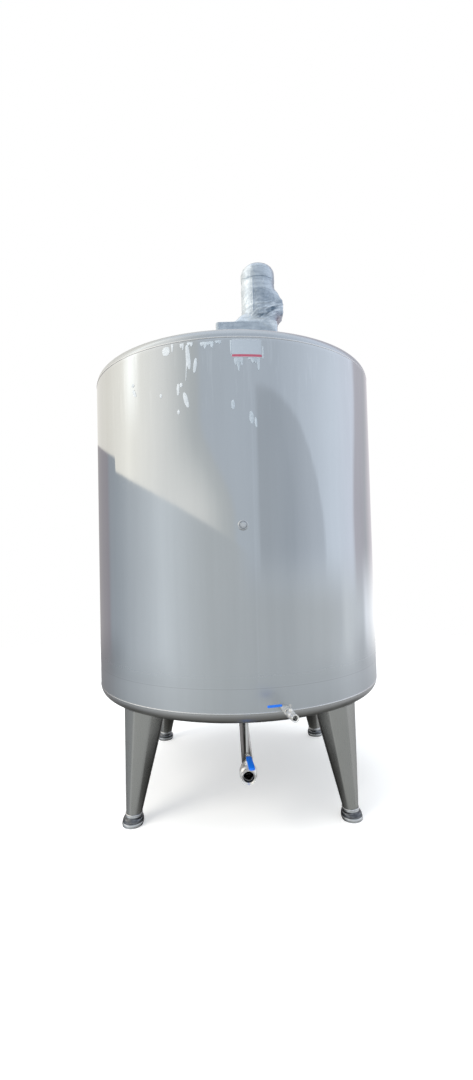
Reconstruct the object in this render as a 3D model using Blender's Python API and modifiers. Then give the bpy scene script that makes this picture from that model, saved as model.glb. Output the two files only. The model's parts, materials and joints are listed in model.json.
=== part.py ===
"""Liquid mixing tank: an upright stainless steel vessel with cone ends on four tapered legs.

A wrapped gear motor stands on the top, a drain pipe with a ball valve runs forward under the
bottom, and a small sample valve, a plugged sensor socket and a bare plate sit on the shell.
Metres, +Z up. The origin is on the floor, at the middle of the whole footprint. The tank's
axis stands AXIS_BACK behind it, because the sample valve reaches out in front.
"""

import math

import bmesh
import bpy
from mathutils import Matrix

# Vessel
SHELL_RADIUS = 0.900
SHELL_BOTTOM = 0.675
SHELL_TOP = 2.553
SHEET = 0.003
KNUCKLE = 0.060
CONE_SLOPE = math.radians(10)
AXIS_BACK = 0.0665
GAP = 0.0003
PANEL_GAP = 0.0006
WELD = 0.00002
SHARP_ANGLE = math.radians(28)

# Roundness
TANK_STEPS = 60
PANELS = ("front", "front_right", "back_right", "back", "back_left", "front_left")
KNUCKLE_STEPS = 4
PIPE_STEPS = 20
BALL_STEPS = 16
BALL_RINGS = 9
FITTING_STEPS = 24
ROD_STEPS = 16
BELL_STEPS = 4
DOME_STEPS = 5

# Legs and feet
LEG_REACH = 0.850
LEG_FOOT_FLATS = 0.084
LEG_TOP_FLATS = 0.240
LEG_TOP_SHIFT = 0.109
LEG_TOP = 0.660
LEG_SIDES = 8
FOOT_RADIUS = 0.0585
FOOT_NECK = 0.0455
FOOT_HEIGHT = 0.058
FOOT_BAND = (0.008, 0.018)
FOOT_SOLE = 0.0555
FOOT_SPIGOT = 0.016
FOOT_EDGE = 0.003

# Drive on the top
PAD_RADIUS = 0.200
PAD_TOP = 2.790
PAD_EDGE = 0.004
PEDESTAL_FOOT = 0.160
PEDESTAL_RADIUS = 0.066
PEDESTAL_FLANGE = 0.090
PEDESTAL_PLATE = 0.014
GEAR_BOTTOM = 2.880
GEAR_TOP = 3.028
GEAR_LEFT = -0.0945
GEAR_RIGHT = 0.3185
GEAR_HALF_WIDTH = 0.1125
GEAR_CORNER = 0.023
GEAR_CHAMFER = 0.006
MOTOR_X = 0.199
MOTOR_RADIUS = 0.1130
MOTOR_BODY = 0.109
ADAPTER_NECK = 0.093
ADAPTER_PLATE = 0.015
ADAPTER_CONE = 0.007
ADAPTER_TOP = 3.098
MOTOR_TOP = 3.352
COWL_TOP = 3.466
COWL_DOME = 0.075
DOME_SQUARENESS = 2.5
TERMINAL_BOTTOM = 3.098
TERMINAL_TOP = 3.208
TERMINAL_LEFT = 0.060
TERMINAL_RIGHT = 0.365
TERMINAL_HALF_WIDTH = 0.055
TERMINAL_CORNER = 0.016
TERMINAL_EDGE = 0.011

# Stretched film round the drive. From the case it drapes up to the motor through outlines
# given as (rise over the case, left, right, half width).
FILM = 0.0012
FILM_OFF = 0.0021
FILM_BOTTOM = 2.858
FILM_COLUMNS = 32
FILM_OVER_CASE = 0.003
FILM_DRAPE = (
    (0.008, -0.040, 0.317, 0.107),
    (0.024, 0.019, 0.320, 0.097),
    (0.055, 0.060, 0.338, 0.085),
)
FILM_BAND = 0.018
FILM_BAND_REACH = 0.345
FILM_BAND_END = 0.085

# Drain
DRAIN_X = 0.022
DRAIN_HEIGHT = 0.335
DRAIN_TURN = math.radians(1.0)
DRAIN_RADIUS = 0.03015
DRAIN_WALL = 0.002
DRAIN_BEND = 0.076
DRAIN_BEND_STEPS = 6
DRAIN_TANGENT = 0.010
NOZZLE_INSIDE = 0.004
DRAIN_VALVE_BACK = 0.710
ROD_RADIUS = 0.0075
ROD_REACH = 0.668
ROD_NUT_RADIUS = 0.014
ROD_NUT_TOP = 0.390
NUT_SIDES = 6

# Fittings on the shell
SAMPLE_TURN = math.radians(14.0)
SAMPLE_HEIGHT = 0.691
SAMPLE_NIPPLE = 0.034
NIPPLE_STEP = 0.003
SENSOR_TURN = math.radians(2.5)
SENSOR_HEIGHT = 1.602
SENSOR_RADIUS = 0.024
SENSOR_MOUTH = 0.0175
SENSOR_REACH = 0.018
SENSOR_SEAT = 0.006
SENSOR_CHAMFER = 0.002
PLUG_HEAD = 0.010
PLUG_STEP = 0.002
PLATE_TURN = math.radians(5.2)
PLATE_HEIGHT = 2.493
PLATE_SIZE = (0.150, 0.094)
PLATE_THICK = 0.001
PLATE_STEPS = 8

# Levers and grips of the valves
LEVER_EDGE = 0.0008
PIN_STEP = 0.001
GRIP_END = 0.003
GRIP_ROUNDING = 0.35

QUARTER = math.radians(90)
LYING = (QUARTER, 0, 0)

# A ball valve lies along -Y from its back face. Lengths run forward, heights up from the bore.
DRAIN_VALVE = {
    "name": "drain",
    "length": 0.120,
    "stem": 0.055,
    "bore": 0.025,
    "mouth": 0.0285,
    "mouth_depth": 0.018,
    "back_radius": 0.0375,
    "back_length": 0.024,
    "body_radius": 0.0465,
    "body_start": 0.034,
    "body_end": 0.076,
    "front_radius": 0.0355,
    "front_start": 0.094,
    "ball": 0.036,
    "ball_room": 0.001,
    "bonnet_radius": 0.017,
    "bonnet_top": 0.062,
    "stem_radius": 0.008,
    "shoulder_radius": 0.012,
    "shoulder_height": 0.009,
    "lever_height": 0.080,
    "lever_thick": 0.004,
    "lever_width": 0.022,
    "lever_tail": 0.0154,
    "lever_start": 0.034,
    "lever_length": 0.176,
    "lever_turn": math.radians(3.0),
    "ball_turn": 0.0,
    "nut_radius": 0.0125,
    "nut_height": 0.009,
    "grip_size": (0.027, 0.013),
}
SAMPLE_VALVE = {
    "name": "sample",
    "length": 0.126,
    "stem": 0.061,
    "bore": 0.0095,
    "mouth": 0.0125,
    "mouth_depth": 0.014,
    "back_radius": 0.0175,
    "back_length": 0.014,
    "body_radius": 0.0200,
    "body_start": 0.045,
    "body_end": 0.077,
    "front_radius": 0.0183,
    "front_start": 0.096,
    "ball": 0.0145,
    "ball_room": 0.0006,
    "bonnet_radius": 0.009,
    "bonnet_top": 0.028,
    "stem_radius": 0.004,
    "shoulder_radius": 0.006,
    "shoulder_height": 0.005,
    "lever_height": 0.040,
    "lever_thick": 0.003,
    "lever_width": 0.012,
    "lever_tail": 0.0084,
    "lever_start": 0.041,
    "lever_length": 0.112,
    "lever_turn": -QUARTER,
    "ball_turn": QUARTER,
    "nut_radius": 0.0075,
    "nut_height": 0.005,
    "grip_size": (0.015, 0.010),
}

FINISHES = {
    "shell_steel": ((0.60, 0.63, 0.66), 0.28, 1.0),
    "leg_steel": ((0.50, 0.50, 0.49), 0.34, 1.0),
    "polished_steel": ((0.75, 0.76, 0.77), 0.10, 1.0),
    "cast_steel": ((0.68, 0.67, 0.64), 0.30, 1.0),
    "blue_grip": ((0.02, 0.16, 0.72), 0.45, 0.0),
    "drive_paint": ((0.36, 0.44, 0.52), 0.45, 0.1),
    "stretch_film": ((0.78, 0.82, 0.86), 0.25, 0.0),
    "plate_white": ((0.80, 0.81, 0.83), 0.35, 0.0),
}


def clear_scene():
    """Starts from an empty scene."""
    for obj in list(bpy.data.objects):
        bpy.data.objects.remove(obj, do_unlink=True)


def make_collection(name):
    """A collection in the scene."""
    collection = bpy.data.collections.new(name)
    bpy.context.scene.collection.children.link(collection)
    return collection


def make_materials():
    """One Principled material for each finish."""
    made = {}
    for name, (colour, roughness, metallic) in FINISHES.items():
        material = bpy.data.materials.new(name)
        material.use_nodes = True
        shader = material.node_tree.nodes["Principled BSDF"]
        shader.inputs["Base Color"].default_value = (*colour, 1)
        shader.inputs["Roughness"].default_value = roughness
        shader.inputs["Metallic"].default_value = metallic
        made[name] = material
    return made


clear_scene()
PARTS = make_collection("liquid_mixing_tank")
CUTTERS = make_collection("cutters")
MATERIALS = make_materials()


def add(name, data, finish, parent, location=(0, 0, 0), rotation=(0, 0, 0)):
    """Puts a named piece in the tank's collection, under its parent."""
    obj = bpy.data.objects.new(name, data)
    PARTS.objects.link(obj)
    obj.parent = parent
    obj.location = location
    obj.rotation_euler = rotation
    data.materials.append(MATERIALS[finish])
    return obj


def as_cutter(obj):
    """Turns a piece into a helper that only cuts or joins."""
    PARTS.objects.unlink(obj)
    CUTTERS.objects.link(obj)
    obj.hide_render = True
    obj.display_type = "WIRE"
    return obj


def frame(name, parent, location=(0, 0, 0), turn=0.0):
    """An empty that carries a group of pieces. Turning it goes round +Z."""
    empty = bpy.data.objects.new(name, None)
    PARTS.objects.link(empty)
    empty.parent = parent
    empty.location = location
    empty.rotation_euler = (0, 0, turn)
    return empty


def combine(obj, other, operation="DIFFERENCE", solver="EXACT"):
    """Cuts the other solid out of a piece, or joins it on."""
    modifier = obj.modifiers.new(other.name, "BOOLEAN")
    modifier.operation = operation
    modifier.solver = solver
    modifier.object = other
    return obj


def thicken(obj, thickness):
    """Gives an open surface a wall that lies inside it."""
    modifier = obj.modifiers.new("wall", "SOLIDIFY")
    modifier.thickness = thickness
    modifier.offset = -1
    return obj


def turned(name, profile, finish, parent, steps=TANK_STEPS, angle=math.tau, ring=False, **place):
    """A profile of (radius, height) points, down its outer side, turned round Z."""
    edges = [(i, i + 1) for i in range(len(profile) - 1)]
    if ring:
        edges.append((len(profile) - 1, 0))
    mesh = bpy.data.meshes.new(name)
    mesh.from_pydata([(radius, 0, height) for radius, height in profile], edges, [])
    obj = add(name, mesh, finish, parent, **place)
    screw = obj.modifiers.new("turn", "SCREW")
    screw.angle = angle
    screw.steps = steps
    screw.render_steps = steps
    screw.use_merge_vertices = True
    screw.merge_threshold = 0.0001
    return obj


def rod(name, radius, low, high, finish, parent, steps=PIPE_STEPS, **place):
    """A plain round bar along Z."""
    profile = [(0, high), (radius, high), (radius, low), (0, low)]
    return turned(name, profile, finish, parent, steps=steps, **place)


def box(name, low, high, finish, parent, bevel=0.0, **place):
    """A box between two corners, with rounded edges where bevel is given."""
    mesh = bpy.data.meshes.new(name)
    shape = bmesh.new()
    bmesh.ops.create_cube(shape, size=1)
    for vert in shape.verts:
        vert.co = [a + (b - a) * (c + 0.5) for a, b, c in zip(low, high, vert.co)]
    shape.to_mesh(mesh)
    shape.free()
    obj = add(name, mesh, finish, parent, **place)
    if bevel:
        rounding = obj.modifiers.new("rounding", "BEVEL")
        rounding.width = bevel
        rounding.segments = 3
    return obj


def loft(name, sections, finish, parent, close_bottom=True, **place):
    """A skin through outlines of equal point counts, listed from the bottom up."""
    shape = bmesh.new()
    rings = [[shape.verts.new((x, y, z)) for x, y in outline] for z, outline in sections]
    count = len(rings[0])
    for lower, upper in zip(rings, rings[1:]):
        for i in range(count):
            j = (i + 1) % count
            shape.faces.new((lower[i], lower[j], upper[j], upper[i]))
    shape.faces.new(rings[-1])
    if close_bottom:
        shape.faces.new(reversed(rings[0]))
    mesh = bpy.data.meshes.new(name)
    shape.to_mesh(mesh)
    shape.free()
    return add(name, mesh, finish, parent, **place)


def stretched_outline(circles, grow=0.0):
    """The outline of a band stretched round circles (x, y, radius), one point a direction."""
    outline = []
    for column in range(FILM_COLUMNS):
        way = math.tau * column / FILM_COLUMNS
        east, north = math.cos(way), math.sin(way)
        x, y, radius = max(circles, key=lambda c: c[0] * east + c[1] * north + c[2])
        outline.append((x + (radius + grow) * east, y + (radius + grow) * north))
    return outline


def rounded_plan(left, right, half_width, corner):
    """The four corner circles of a rounded rectangle in plan."""
    return [
        (x, side * (half_width - corner), corner)
        for x in (left + corner, right - corner)
        for side in (-1, 1)
    ]


def dome(radius, rise):
    """(radius, height) points of a full, rounded cap, from its flat middle down to its rim."""
    power = 2 / DOME_SQUARENESS
    angles = [QUARTER * step / DOME_STEPS for step in range(1, DOME_STEPS)]
    crown = math.cos(angles[0]) ** power
    cap = [(radius * math.sin(a) ** power, rise * math.cos(a) ** power / crown) for a in angles]
    return cap + [(radius, 0)]


def head_profile(inset):
    """(radius, rise) points of a cone end from its seam to its middle, inset from the outside."""
    turn = QUARTER - CONE_SLOPE
    radius = KNUCKLE - inset
    centre = SHELL_RADIUS - KNUCKLE
    points = []
    for step in range(KNUCKLE_STEPS + 1):
        angle = turn * step / KNUCKLE_STEPS
        points.append((centre + radius * math.cos(angle), radius * math.sin(angle)))
    edge_radius, edge_rise = points[-1]
    points.append((0, edge_rise + edge_radius * math.tan(CONE_SLOPE)))
    return points


def top_side(inset):
    """The top end's profile from its middle down to the seam."""
    return [(radius, SHELL_TOP + GAP + rise) for radius, rise in reversed(head_profile(inset))]


def bottom_side(inset):
    """The bottom end's profile from its seam down to its middle."""
    return [(radius, SHELL_BOTTOM - GAP - rise) for radius, rise in head_profile(inset)]


def make_heads(tank):
    """The two cone ends, and the helper that trims what is welded to the outside."""
    turned("top_head", top_side(0) + top_side(SHEET)[::-1], "shell_steel", tank)
    bottom = bottom_side(SHEET)[::-1] + bottom_side(0)
    bottom_head = turned("bottom_head", bottom, "shell_steel", tank)
    nozzle_hole = rod(
        "nozzle_hole", DRAIN_RADIUS + GAP, 0, 1, "shell_steel", tank, location=(DRAIN_X, 0, 0)
    )
    combine(bottom_head, as_cutter(nozzle_hole))
    outside = turned("outside", top_side(-GAP) + bottom_side(-GAP), "shell_steel", tank)
    return as_cutter(outside)


def make_shell(tank):
    """The round wall in six rolled panels, with a hole behind the sample valve."""
    sector = math.tau / len(PANELS)
    sweep = sector - PANEL_GAP / SHELL_RADIUS
    wall = [(SHELL_RADIUS, SHELL_TOP), (SHELL_RADIUS, SHELL_BOTTOM)]
    for number, side in enumerate(PANELS):
        turn = sector * (number - 0.5) - QUARTER + PANEL_GAP / SHELL_RADIUS / 2
        panel = turned(
            f"shell_{side}",
            wall,
            "shell_steel",
            tank,
            steps=TANK_STEPS // len(PANELS),
            angle=sweep,
            rotation=(0, 0, turn),
        )
        thicken(panel, SHEET)
        if side == "front":
            combine(panel, sample_hole(tank))


def sample_hole(tank):
    """The cutter for the sample valve's way through the shell."""
    reach = (SHELL_RADIUS - KNUCKLE, SHELL_RADIUS + KNUCKLE)
    holder = frame("sample_hole_frame", tank, (0, 0, SAMPLE_HEIGHT), SAMPLE_TURN)
    hole = rod("sample_hole", SAMPLE_VALVE["bore"] - GAP, *reach, "shell_steel", holder)
    hole.rotation_euler = LYING
    return as_cutter(hole)


def leg_shift(height):
    """How far the middle of the leaning leg has moved inwards at a height."""
    return LEG_TOP_SHIFT * height / LEG_TOP


def make_leg(name, tank, turn, outside):
    """A folded eight-sided leg of sheet, cut to the bottom end, and its bell foot."""
    corner = frame(f"corner_{name}", tank, turn=turn)
    to_corner = 1 / math.cos(math.pi / LEG_SIDES)
    height = LEG_TOP - FOOT_HEIGHT - GAP
    middle = LEG_TOP - height / 2
    mesh = bpy.data.meshes.new(f"leg_{name}")
    shape = bmesh.new()
    bmesh.ops.create_cone(
        shape,
        cap_ends=False,
        segments=LEG_SIDES,
        radius1=LEG_FOOT_FLATS / 2 * to_corner,
        radius2=LEG_TOP_FLATS / 2 * to_corner,
        depth=height,
    )
    bmesh.ops.rotate(shape, verts=shape.verts, matrix=Matrix.Rotation(math.pi / LEG_SIDES, 3, "Z"))
    for vert in shape.verts:
        vert.co.x -= leg_shift(middle + vert.co.z)
    shape.to_mesh(mesh)
    shape.free()
    leg = add(f"leg_{name}", mesh, "leg_steel", corner, location=(LEG_REACH, 0, middle))
    thicken(leg, SHEET)
    combine(leg, outside)
    make_foot(name, corner)


def make_foot(name, corner):
    """A round bell foot that leans with its leg, with a spigot inside the leg."""
    spigot = LEG_FOOT_FLATS / 2 - SHEET - 2 * GAP
    spigot_top = FOOT_HEIGHT + FOOT_SPIGOT
    rim, band = FOOT_BAND
    profile = [(FOOT_SOLE, 0), (FOOT_SOLE, rim - FOOT_EDGE), (FOOT_RADIUS, rim)]
    for step in range(BELL_STEPS + 1):
        share = 1 - step / BELL_STEPS
        radius = FOOT_NECK + (FOOT_RADIUS - FOOT_NECK) * share ** 2
        profile.append((radius, FOOT_HEIGHT + (band - FOOT_HEIGHT) * share))
    profile += [
        (spigot, FOOT_HEIGHT),
        (spigot, spigot_top - FOOT_EDGE),
        (spigot - FOOT_EDGE, spigot_top),
    ]
    sections = []
    for radius, height in profile:
        sections.append((height, stretched_outline([(-leg_shift(height), 0, radius)])))
    loft(f"foot_{name}", sections, "polished_steel", corner, location=(LEG_REACH, 0, 0))


def make_legs(tank, outside):
    """Four legs on the diagonals."""
    corners = {
        "front_left": math.radians(225),
        "front_right": math.radians(315),
        "back_right": math.radians(45),
        "back_left": math.radians(135),
    }
    for name, turn in corners.items():
        make_leg(name, tank, turn, outside)


def make_pedestal(tank):
    """The round pad on the top end and the flanged neck that carries the gear housing."""
    apex = top_side(-GAP)[0][1]
    edge = apex - PAD_RADIUS * math.tan(CONE_SLOPE)
    pad = [
        (0, PAD_TOP),
        (PAD_RADIUS - PAD_EDGE, PAD_TOP),
        (PAD_RADIUS, PAD_TOP - PAD_EDGE),
        (PAD_RADIUS, edge),
        (0, apex),
    ]
    turned("lid_pad", pad, "shell_steel", tank)
    low, high = PAD_TOP + GAP, GEAR_BOTTOM - GAP
    neck = [
        (0, high),
        (PEDESTAL_FLANGE, high),
        (PEDESTAL_FLANGE, high - PEDESTAL_PLATE),
        (PEDESTAL_RADIUS, high - PEDESTAL_PLATE),
        (PEDESTAL_RADIUS, low + PEDESTAL_PLATE),
        (PEDESTAL_FOOT, low + PEDESTAL_PLATE),
        (PEDESTAL_FOOT, low),
        (0, low),
    ]
    turned("drive_pedestal", neck, "drive_paint", tank, steps=FITTING_STEPS)


def make_gear_housing(tank):
    """The flat gear case, its output over the tank's axis and the motor over its far end."""
    sections = []
    for z, inset in (
        (GEAR_BOTTOM, GEAR_CHAMFER),
        (GEAR_BOTTOM + GEAR_CHAMFER, 0),
        (GEAR_TOP - GEAR_CHAMFER, 0),
        (GEAR_TOP, GEAR_CHAMFER),
    ):
        plan = rounded_plan(GEAR_LEFT, GEAR_RIGHT, GEAR_HALF_WIDTH, GEAR_CORNER)
        sections.append((z, stretched_outline(plan, -inset)))
    loft("gear_housing", sections, "drive_paint", tank)


def make_motor(tank):
    """Adapter, motor body and fan cowl on one upright axis, with the terminal box."""
    motor = frame("motor_axis", tank, (MOTOR_X, 0, 0))
    adapter = [
        (0, ADAPTER_TOP),
        (MOTOR_RADIUS, ADAPTER_TOP),
        (MOTOR_RADIUS, ADAPTER_TOP - ADAPTER_PLATE),
        (ADAPTER_NECK, ADAPTER_TOP - ADAPTER_PLATE - ADAPTER_CONE),
        (ADAPTER_NECK, GEAR_TOP + ADAPTER_PLATE + ADAPTER_CONE),
        (MOTOR_BODY, GEAR_TOP + ADAPTER_PLATE),
        (MOTOR_BODY, GEAR_TOP + GAP),
        (0, GEAR_TOP + GAP),
    ]
    turned("motor_adapter", adapter, "drive_paint", motor, steps=FITTING_STEPS)
    ends = (ADAPTER_TOP + GAP, MOTOR_TOP - GAP)
    rod("motor_body", MOTOR_BODY, *ends, "drive_paint", motor, steps=FITTING_STEPS)
    rim = COWL_TOP - COWL_DOME
    cap = [(radius, rim + height) for radius, height in dome(MOTOR_RADIUS, COWL_DOME)]
    cowl = [(0, COWL_TOP), *cap, (MOTOR_RADIUS, MOTOR_TOP), (0, MOTOR_TOP)]
    turned("fan_cowl", cowl, "drive_paint", motor, steps=FITTING_STEPS)
    make_terminal_box(motor)


def make_terminal_box(motor):
    """A rounded box on the motor's right side, hollowed to its round body."""
    right = TERMINAL_RIGHT - MOTOR_X
    plan = rounded_plan(TERMINAL_LEFT, right, TERMINAL_HALF_WIDTH, TERMINAL_CORNER)
    sections = [
        (TERMINAL_BOTTOM, stretched_outline(plan, -TERMINAL_EDGE)),
        (TERMINAL_BOTTOM + TERMINAL_EDGE, stretched_outline(plan)),
        (TERMINAL_TOP - TERMINAL_EDGE, stretched_outline(plan)),
        (TERMINAL_TOP, stretched_outline(plan, -TERMINAL_EDGE)),
    ]
    terminal = loft("terminal_box", sections, "drive_paint", motor)
    room = (MOTOR_RADIUS + GAP, GEAR_TOP, MOTOR_TOP)
    room = rod("motor_room", *room, "drive_paint", motor, steps=FITTING_STEPS)
    combine(terminal, as_cutter(room))


def make_film(tank):
    """Stretch film drawn round the gear case, the terminal box and the motor, open below."""
    case = rounded_plan(
        GEAR_LEFT - MOTOR_X, GEAR_RIGHT - MOTOR_X, GEAR_HALF_WIDTH, GEAR_CORNER
    )
    motor = [(0, 0, MOTOR_RADIUS)]
    box_and_motor = terminal_reach(TERMINAL_RIGHT) + motor
    sections = [(FILM_BOTTOM, case), (GEAR_TOP + FILM_OVER_CASE, case)]
    for rise, left, right, half_width in FILM_DRAPE:
        drape = rounded_plan(left - MOTOR_X, right - MOTOR_X, half_width, GEAR_CORNER)
        sections.append((GEAR_TOP + rise, drape + motor))
    sections += [
        (ADAPTER_TOP, box_and_motor),
        (TERMINAL_TOP + FILM_OVER_CASE, box_and_motor),
        (TERMINAL_TOP + FILM_BAND, terminal_reach(FILM_BAND_REACH) + motor),
        (TERMINAL_TOP + FILM_BAND_END, motor),
    ]
    rim = COWL_TOP - COWL_DOME
    for radius, height in reversed(dome(MOTOR_RADIUS, COWL_DOME + FILM_OVER_CASE)):
        sections.append((rim + height, [(0, 0, radius)]))
    outlines = [(z, stretched_outline(circles, FILM_OFF)) for z, circles in sections]
    place = {"close_bottom": False, "location": (MOTOR_X, 0, 0)}
    thicken(loft("film_wrap", outlines, "stretch_film", tank, **place), FILM)


def terminal_reach(right):
    """Corner circles in plan, from the motor's axis to the terminal box's side of it."""
    return rounded_plan(0, right - MOTOR_X, TERMINAL_HALF_WIDTH, TERMINAL_CORNER)


def pipe(name, points, parent):
    """A tube of the drain's size along a line of points, open at both ends."""
    curve = bpy.data.curves.new(name, "CURVE")
    curve.dimensions = "3D"
    curve.bevel_depth = DRAIN_RADIUS
    curve.bevel_resolution = PIPE_STEPS // 2 - 2
    curve.use_fill_caps = False
    spline = curve.splines.new("POLY")
    spline.points.add(len(points) - 1)
    for point, place in zip(spline.points, points):
        point.co = (*place, 1)
    obj = add(name, curve, "polished_steel", parent)
    return thicken(obj, DRAIN_WALL)


def make_drain(tank):
    """Nozzle and elbow, the pipe to the front, its hanger and the drain valve."""
    drain = frame("drain_line", tank, (DRAIN_X, 0, DRAIN_HEIGHT), DRAIN_TURN)
    bend = []
    for step in range(DRAIN_BEND_STEPS + 1):
        angle = QUARTER * step / DRAIN_BEND_STEPS
        forward = DRAIN_BEND * (1 - math.cos(angle))
        bend.append((0, -forward, DRAIN_BEND * (1 - math.sin(angle))))
    nozzle_top = bottom_side(SHEET)[-1][1] + NOZZLE_INSIDE - DRAIN_HEIGHT
    weld_line = DRAIN_BEND + DRAIN_TANGENT
    pipe("drain_nozzle", [(0, 0, nozzle_top), (0, 0, weld_line + GAP)], drain)
    pipe("drain_elbow", [(0, 0, weld_line), *bend, (0, -weld_line, 0)], drain)
    pipe("drain_pipe", [(0, -weld_line - GAP, 0), (0, GAP - DRAIN_VALVE_BACK, 0)], drain)
    make_hanger(drain)
    make_valve(DRAIN_VALVE, frame("drain_valve_seat", drain, (0, -DRAIN_VALVE_BACK, 0)))


def make_hanger(drain):
    """The rod that hangs the pipe from the bottom end, on a nut over the pipe."""
    reach = math.hypot(DRAIN_X + ROD_REACH * math.sin(DRAIN_TURN), ROD_REACH) + ROD_RADIUS
    edge_radius, edge = bottom_side(-GAP)[-2]
    under = edge - (edge_radius - reach) * math.tan(CONE_SLOPE) - 2 * ROD_RADIUS * CONE_SLOPE
    low = ROD_NUT_TOP + GAP - DRAIN_HEIGHT
    place = {"location": (0, -ROD_REACH, 0)}
    bar = (ROD_RADIUS, low, under - DRAIN_HEIGHT)
    rod("hanger_rod", *bar, "cast_steel", drain, steps=ROD_STEPS, **place)
    nut = (ROD_NUT_RADIUS, DRAIN_RADIUS + GAP, ROD_NUT_TOP - DRAIN_HEIGHT)
    rod("hanger_nut", *nut, "cast_steel", drain, steps=NUT_SIDES, **place)


def make_valve(valve, seat):
    """A ball valve lying forward from its seat, with its stem, lever and grip."""
    make_valve_body(valve, seat)
    lever = frame(f"{valve['name']}_lever_axis", seat, (0, -valve["stem"], 0))
    make_ball(valve, lever)
    make_lever(valve, lever)


def make_valve_body(valve, seat):
    """The cast body: two collars, a barrel round the ball and a bonnet for the stem."""
    length = valve["length"]
    outer = [
        (valve["front_radius"], length),
        (valve["front_radius"], valve["front_start"]),
        (valve["body_radius"], valve["body_end"]),
        (valve["body_radius"], valve["body_start"]),
        (valve["back_radius"], valve["back_length"]),
        (valve["back_radius"], 0),
    ]
    name = f"{valve['name']}_valve_body"
    solver = "MANIFOLD"
    place = {"rotation": LYING}
    solid = [(0, length)] + outer + [(0, 0)]
    body = turned(name, solid, "cast_steel", seat, steps=FITTING_STEPS, **place)
    middle = {"location": (0, -valve["stem"], 0)}
    bonnet = (valve["bonnet_radius"], 0, valve["bonnet_top"])
    bonnet = rod(f"{name}_bonnet", *bonnet, "cast_steel", seat, **middle)
    combine(body, as_cutter(bonnet), "UNION", solver)
    bore = [
        (0, length + valve["bore"]),
        (valve["mouth"], length + valve["bore"]),
        (valve["mouth"], length - valve["mouth_depth"]),
        (valve["bore"], length - valve["mouth_depth"]),
        (valve["bore"], -valve["bore"]),
        (0, -valve["bore"]),
    ]
    bore = turned(f"{name}_bore", bore, "cast_steel", seat, steps=FITTING_STEPS, **place)
    combine(body, as_cutter(bore), solver=solver)
    room = valve["ball"] + valve["ball_room"]
    room = sphere(f"{name}_room", room, "cast_steel", seat, **middle)
    combine(body, as_cutter(room), solver=solver)
    hole = (valve["stem_radius"] + GAP, 0, valve["bonnet_top"] + valve["bore"])
    hole = rod(f"{name}_stem_hole", *hole, "cast_steel", seat, **middle)
    combine(body, as_cutter(hole), solver=solver)


def sphere(name, radius, finish, parent, **place):
    """A round ball with its poles on Z."""
    mesh = bpy.data.meshes.new(name)
    shape = bmesh.new()
    bmesh.ops.create_uvsphere(shape, u_segments=BALL_STEPS, v_segments=BALL_RINGS, radius=radius)
    shape.to_mesh(mesh)
    shape.free()
    return add(name, mesh, finish, parent, **place)


def make_ball(valve, lever):
    """The ball with its bore, which turns with the lever."""
    name = f"{valve['name']}_ball"
    turn = (0, 0, valve["ball_turn"])
    ball = sphere(name, valve["ball"], "polished_steel", lever, rotation=turn)
    reach = 2 * valve["ball"]
    bore = rod(f"{name}_bore", valve["bore"], -reach, reach, "polished_steel", ball)
    bore.rotation_euler = LYING
    combine(ball, as_cutter(bore))


def make_lever(valve, lever):
    """Stem, lever plate, nut and grip, pointing forward along -Y before the lever's own turn."""
    name = valve["name"]
    base = valve["lever_height"]
    top = base + valve["lever_thick"]
    shoulder = base - valve["shoulder_height"]
    stem = [
        (0, base - GAP),
        (valve["shoulder_radius"], base - GAP),
        (valve["shoulder_radius"], shoulder),
        (valve["stem_radius"], shoulder),
        (valve["stem_radius"], valve["ball"] + GAP),
        (0, valve["ball"] + GAP),
    ]
    turned(f"{name}_stem", stem, "polished_steel", lever, steps=PIPE_STEPS)
    pin = valve["stem_radius"] - PIN_STEP
    nut = [
        (0, top + valve["nut_height"]),
        (valve["nut_radius"], top + valve["nut_height"]),
        (valve["nut_radius"], top + GAP),
        (pin, top + GAP),
        (pin, base),
        (0, base),
    ]
    turned(f"{name}_lever_nut", nut, "polished_steel", lever, steps=NUT_SIDES)
    arm = frame(f"{name}_arm", lever, turn=valve["lever_turn"])
    half = valve["lever_width"] / 2
    low = (-half, 3 * GAP - valve["lever_length"], base)
    high = (half, valve["lever_tail"], top)
    plate = box(f"{name}_lever", low, high, "cast_steel", arm, bevel=LEVER_EDGE)
    hole = rod(f"{name}_lever_hole", pin + GAP, 0, top + base, "cast_steel", arm)
    combine(plate, as_cutter(hole))
    make_grip(valve, arm, (base + top) / 2)


def make_grip(valve, arm, middle):
    """The dipped grip, a rounded sleeve over the lever's far end."""
    name = valve["name"]
    width, height = valve["grip_size"]
    tip = valve["lever_length"] + GRIP_END
    start = valve["lever_start"]
    low = (-width / 2, -tip, middle - height / 2)
    high = (width / 2, -start, middle + height / 2)
    rounding = height * GRIP_ROUNDING
    grip = box(f"{name}_grip", low, high, "blue_grip", arm, bevel=rounding)
    half = valve["lever_width"] / 2 + GAP
    thick = valve["lever_thick"] / 2 + GAP
    slot_low = (-half, -valve["lever_length"], middle - thick)
    slot_high = (half, 0, middle + thick)
    combine(grip, as_cutter(box(f"{name}_grip_slot", slot_low, slot_high, "blue_grip", arm)))


def make_sample_valve(tank, outside):
    """A pipe nipple on the shell with a small ball valve on it."""
    sample = frame("sample_line", tank, (0, 0, SAMPLE_HEIGHT), SAMPLE_TURN)
    inner, outer = SAMPLE_VALVE["bore"], SAMPLE_VALVE["back_radius"] - NIPPLE_STEP
    high = SHELL_RADIUS + SAMPLE_NIPPLE
    low = SHELL_RADIUS - SHEET
    profile = [(outer, high), (outer, low), (inner, low), (inner, high)]
    place = {"steps": PIPE_STEPS, "ring": True, "rotation": LYING}
    nipple = turned("sample_nipple", profile, "cast_steel", sample, **place)
    combine(nipple, outside)
    make_valve(SAMPLE_VALVE, frame("sample_valve_seat", sample, (0, -high - GAP, 0)))


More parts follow.
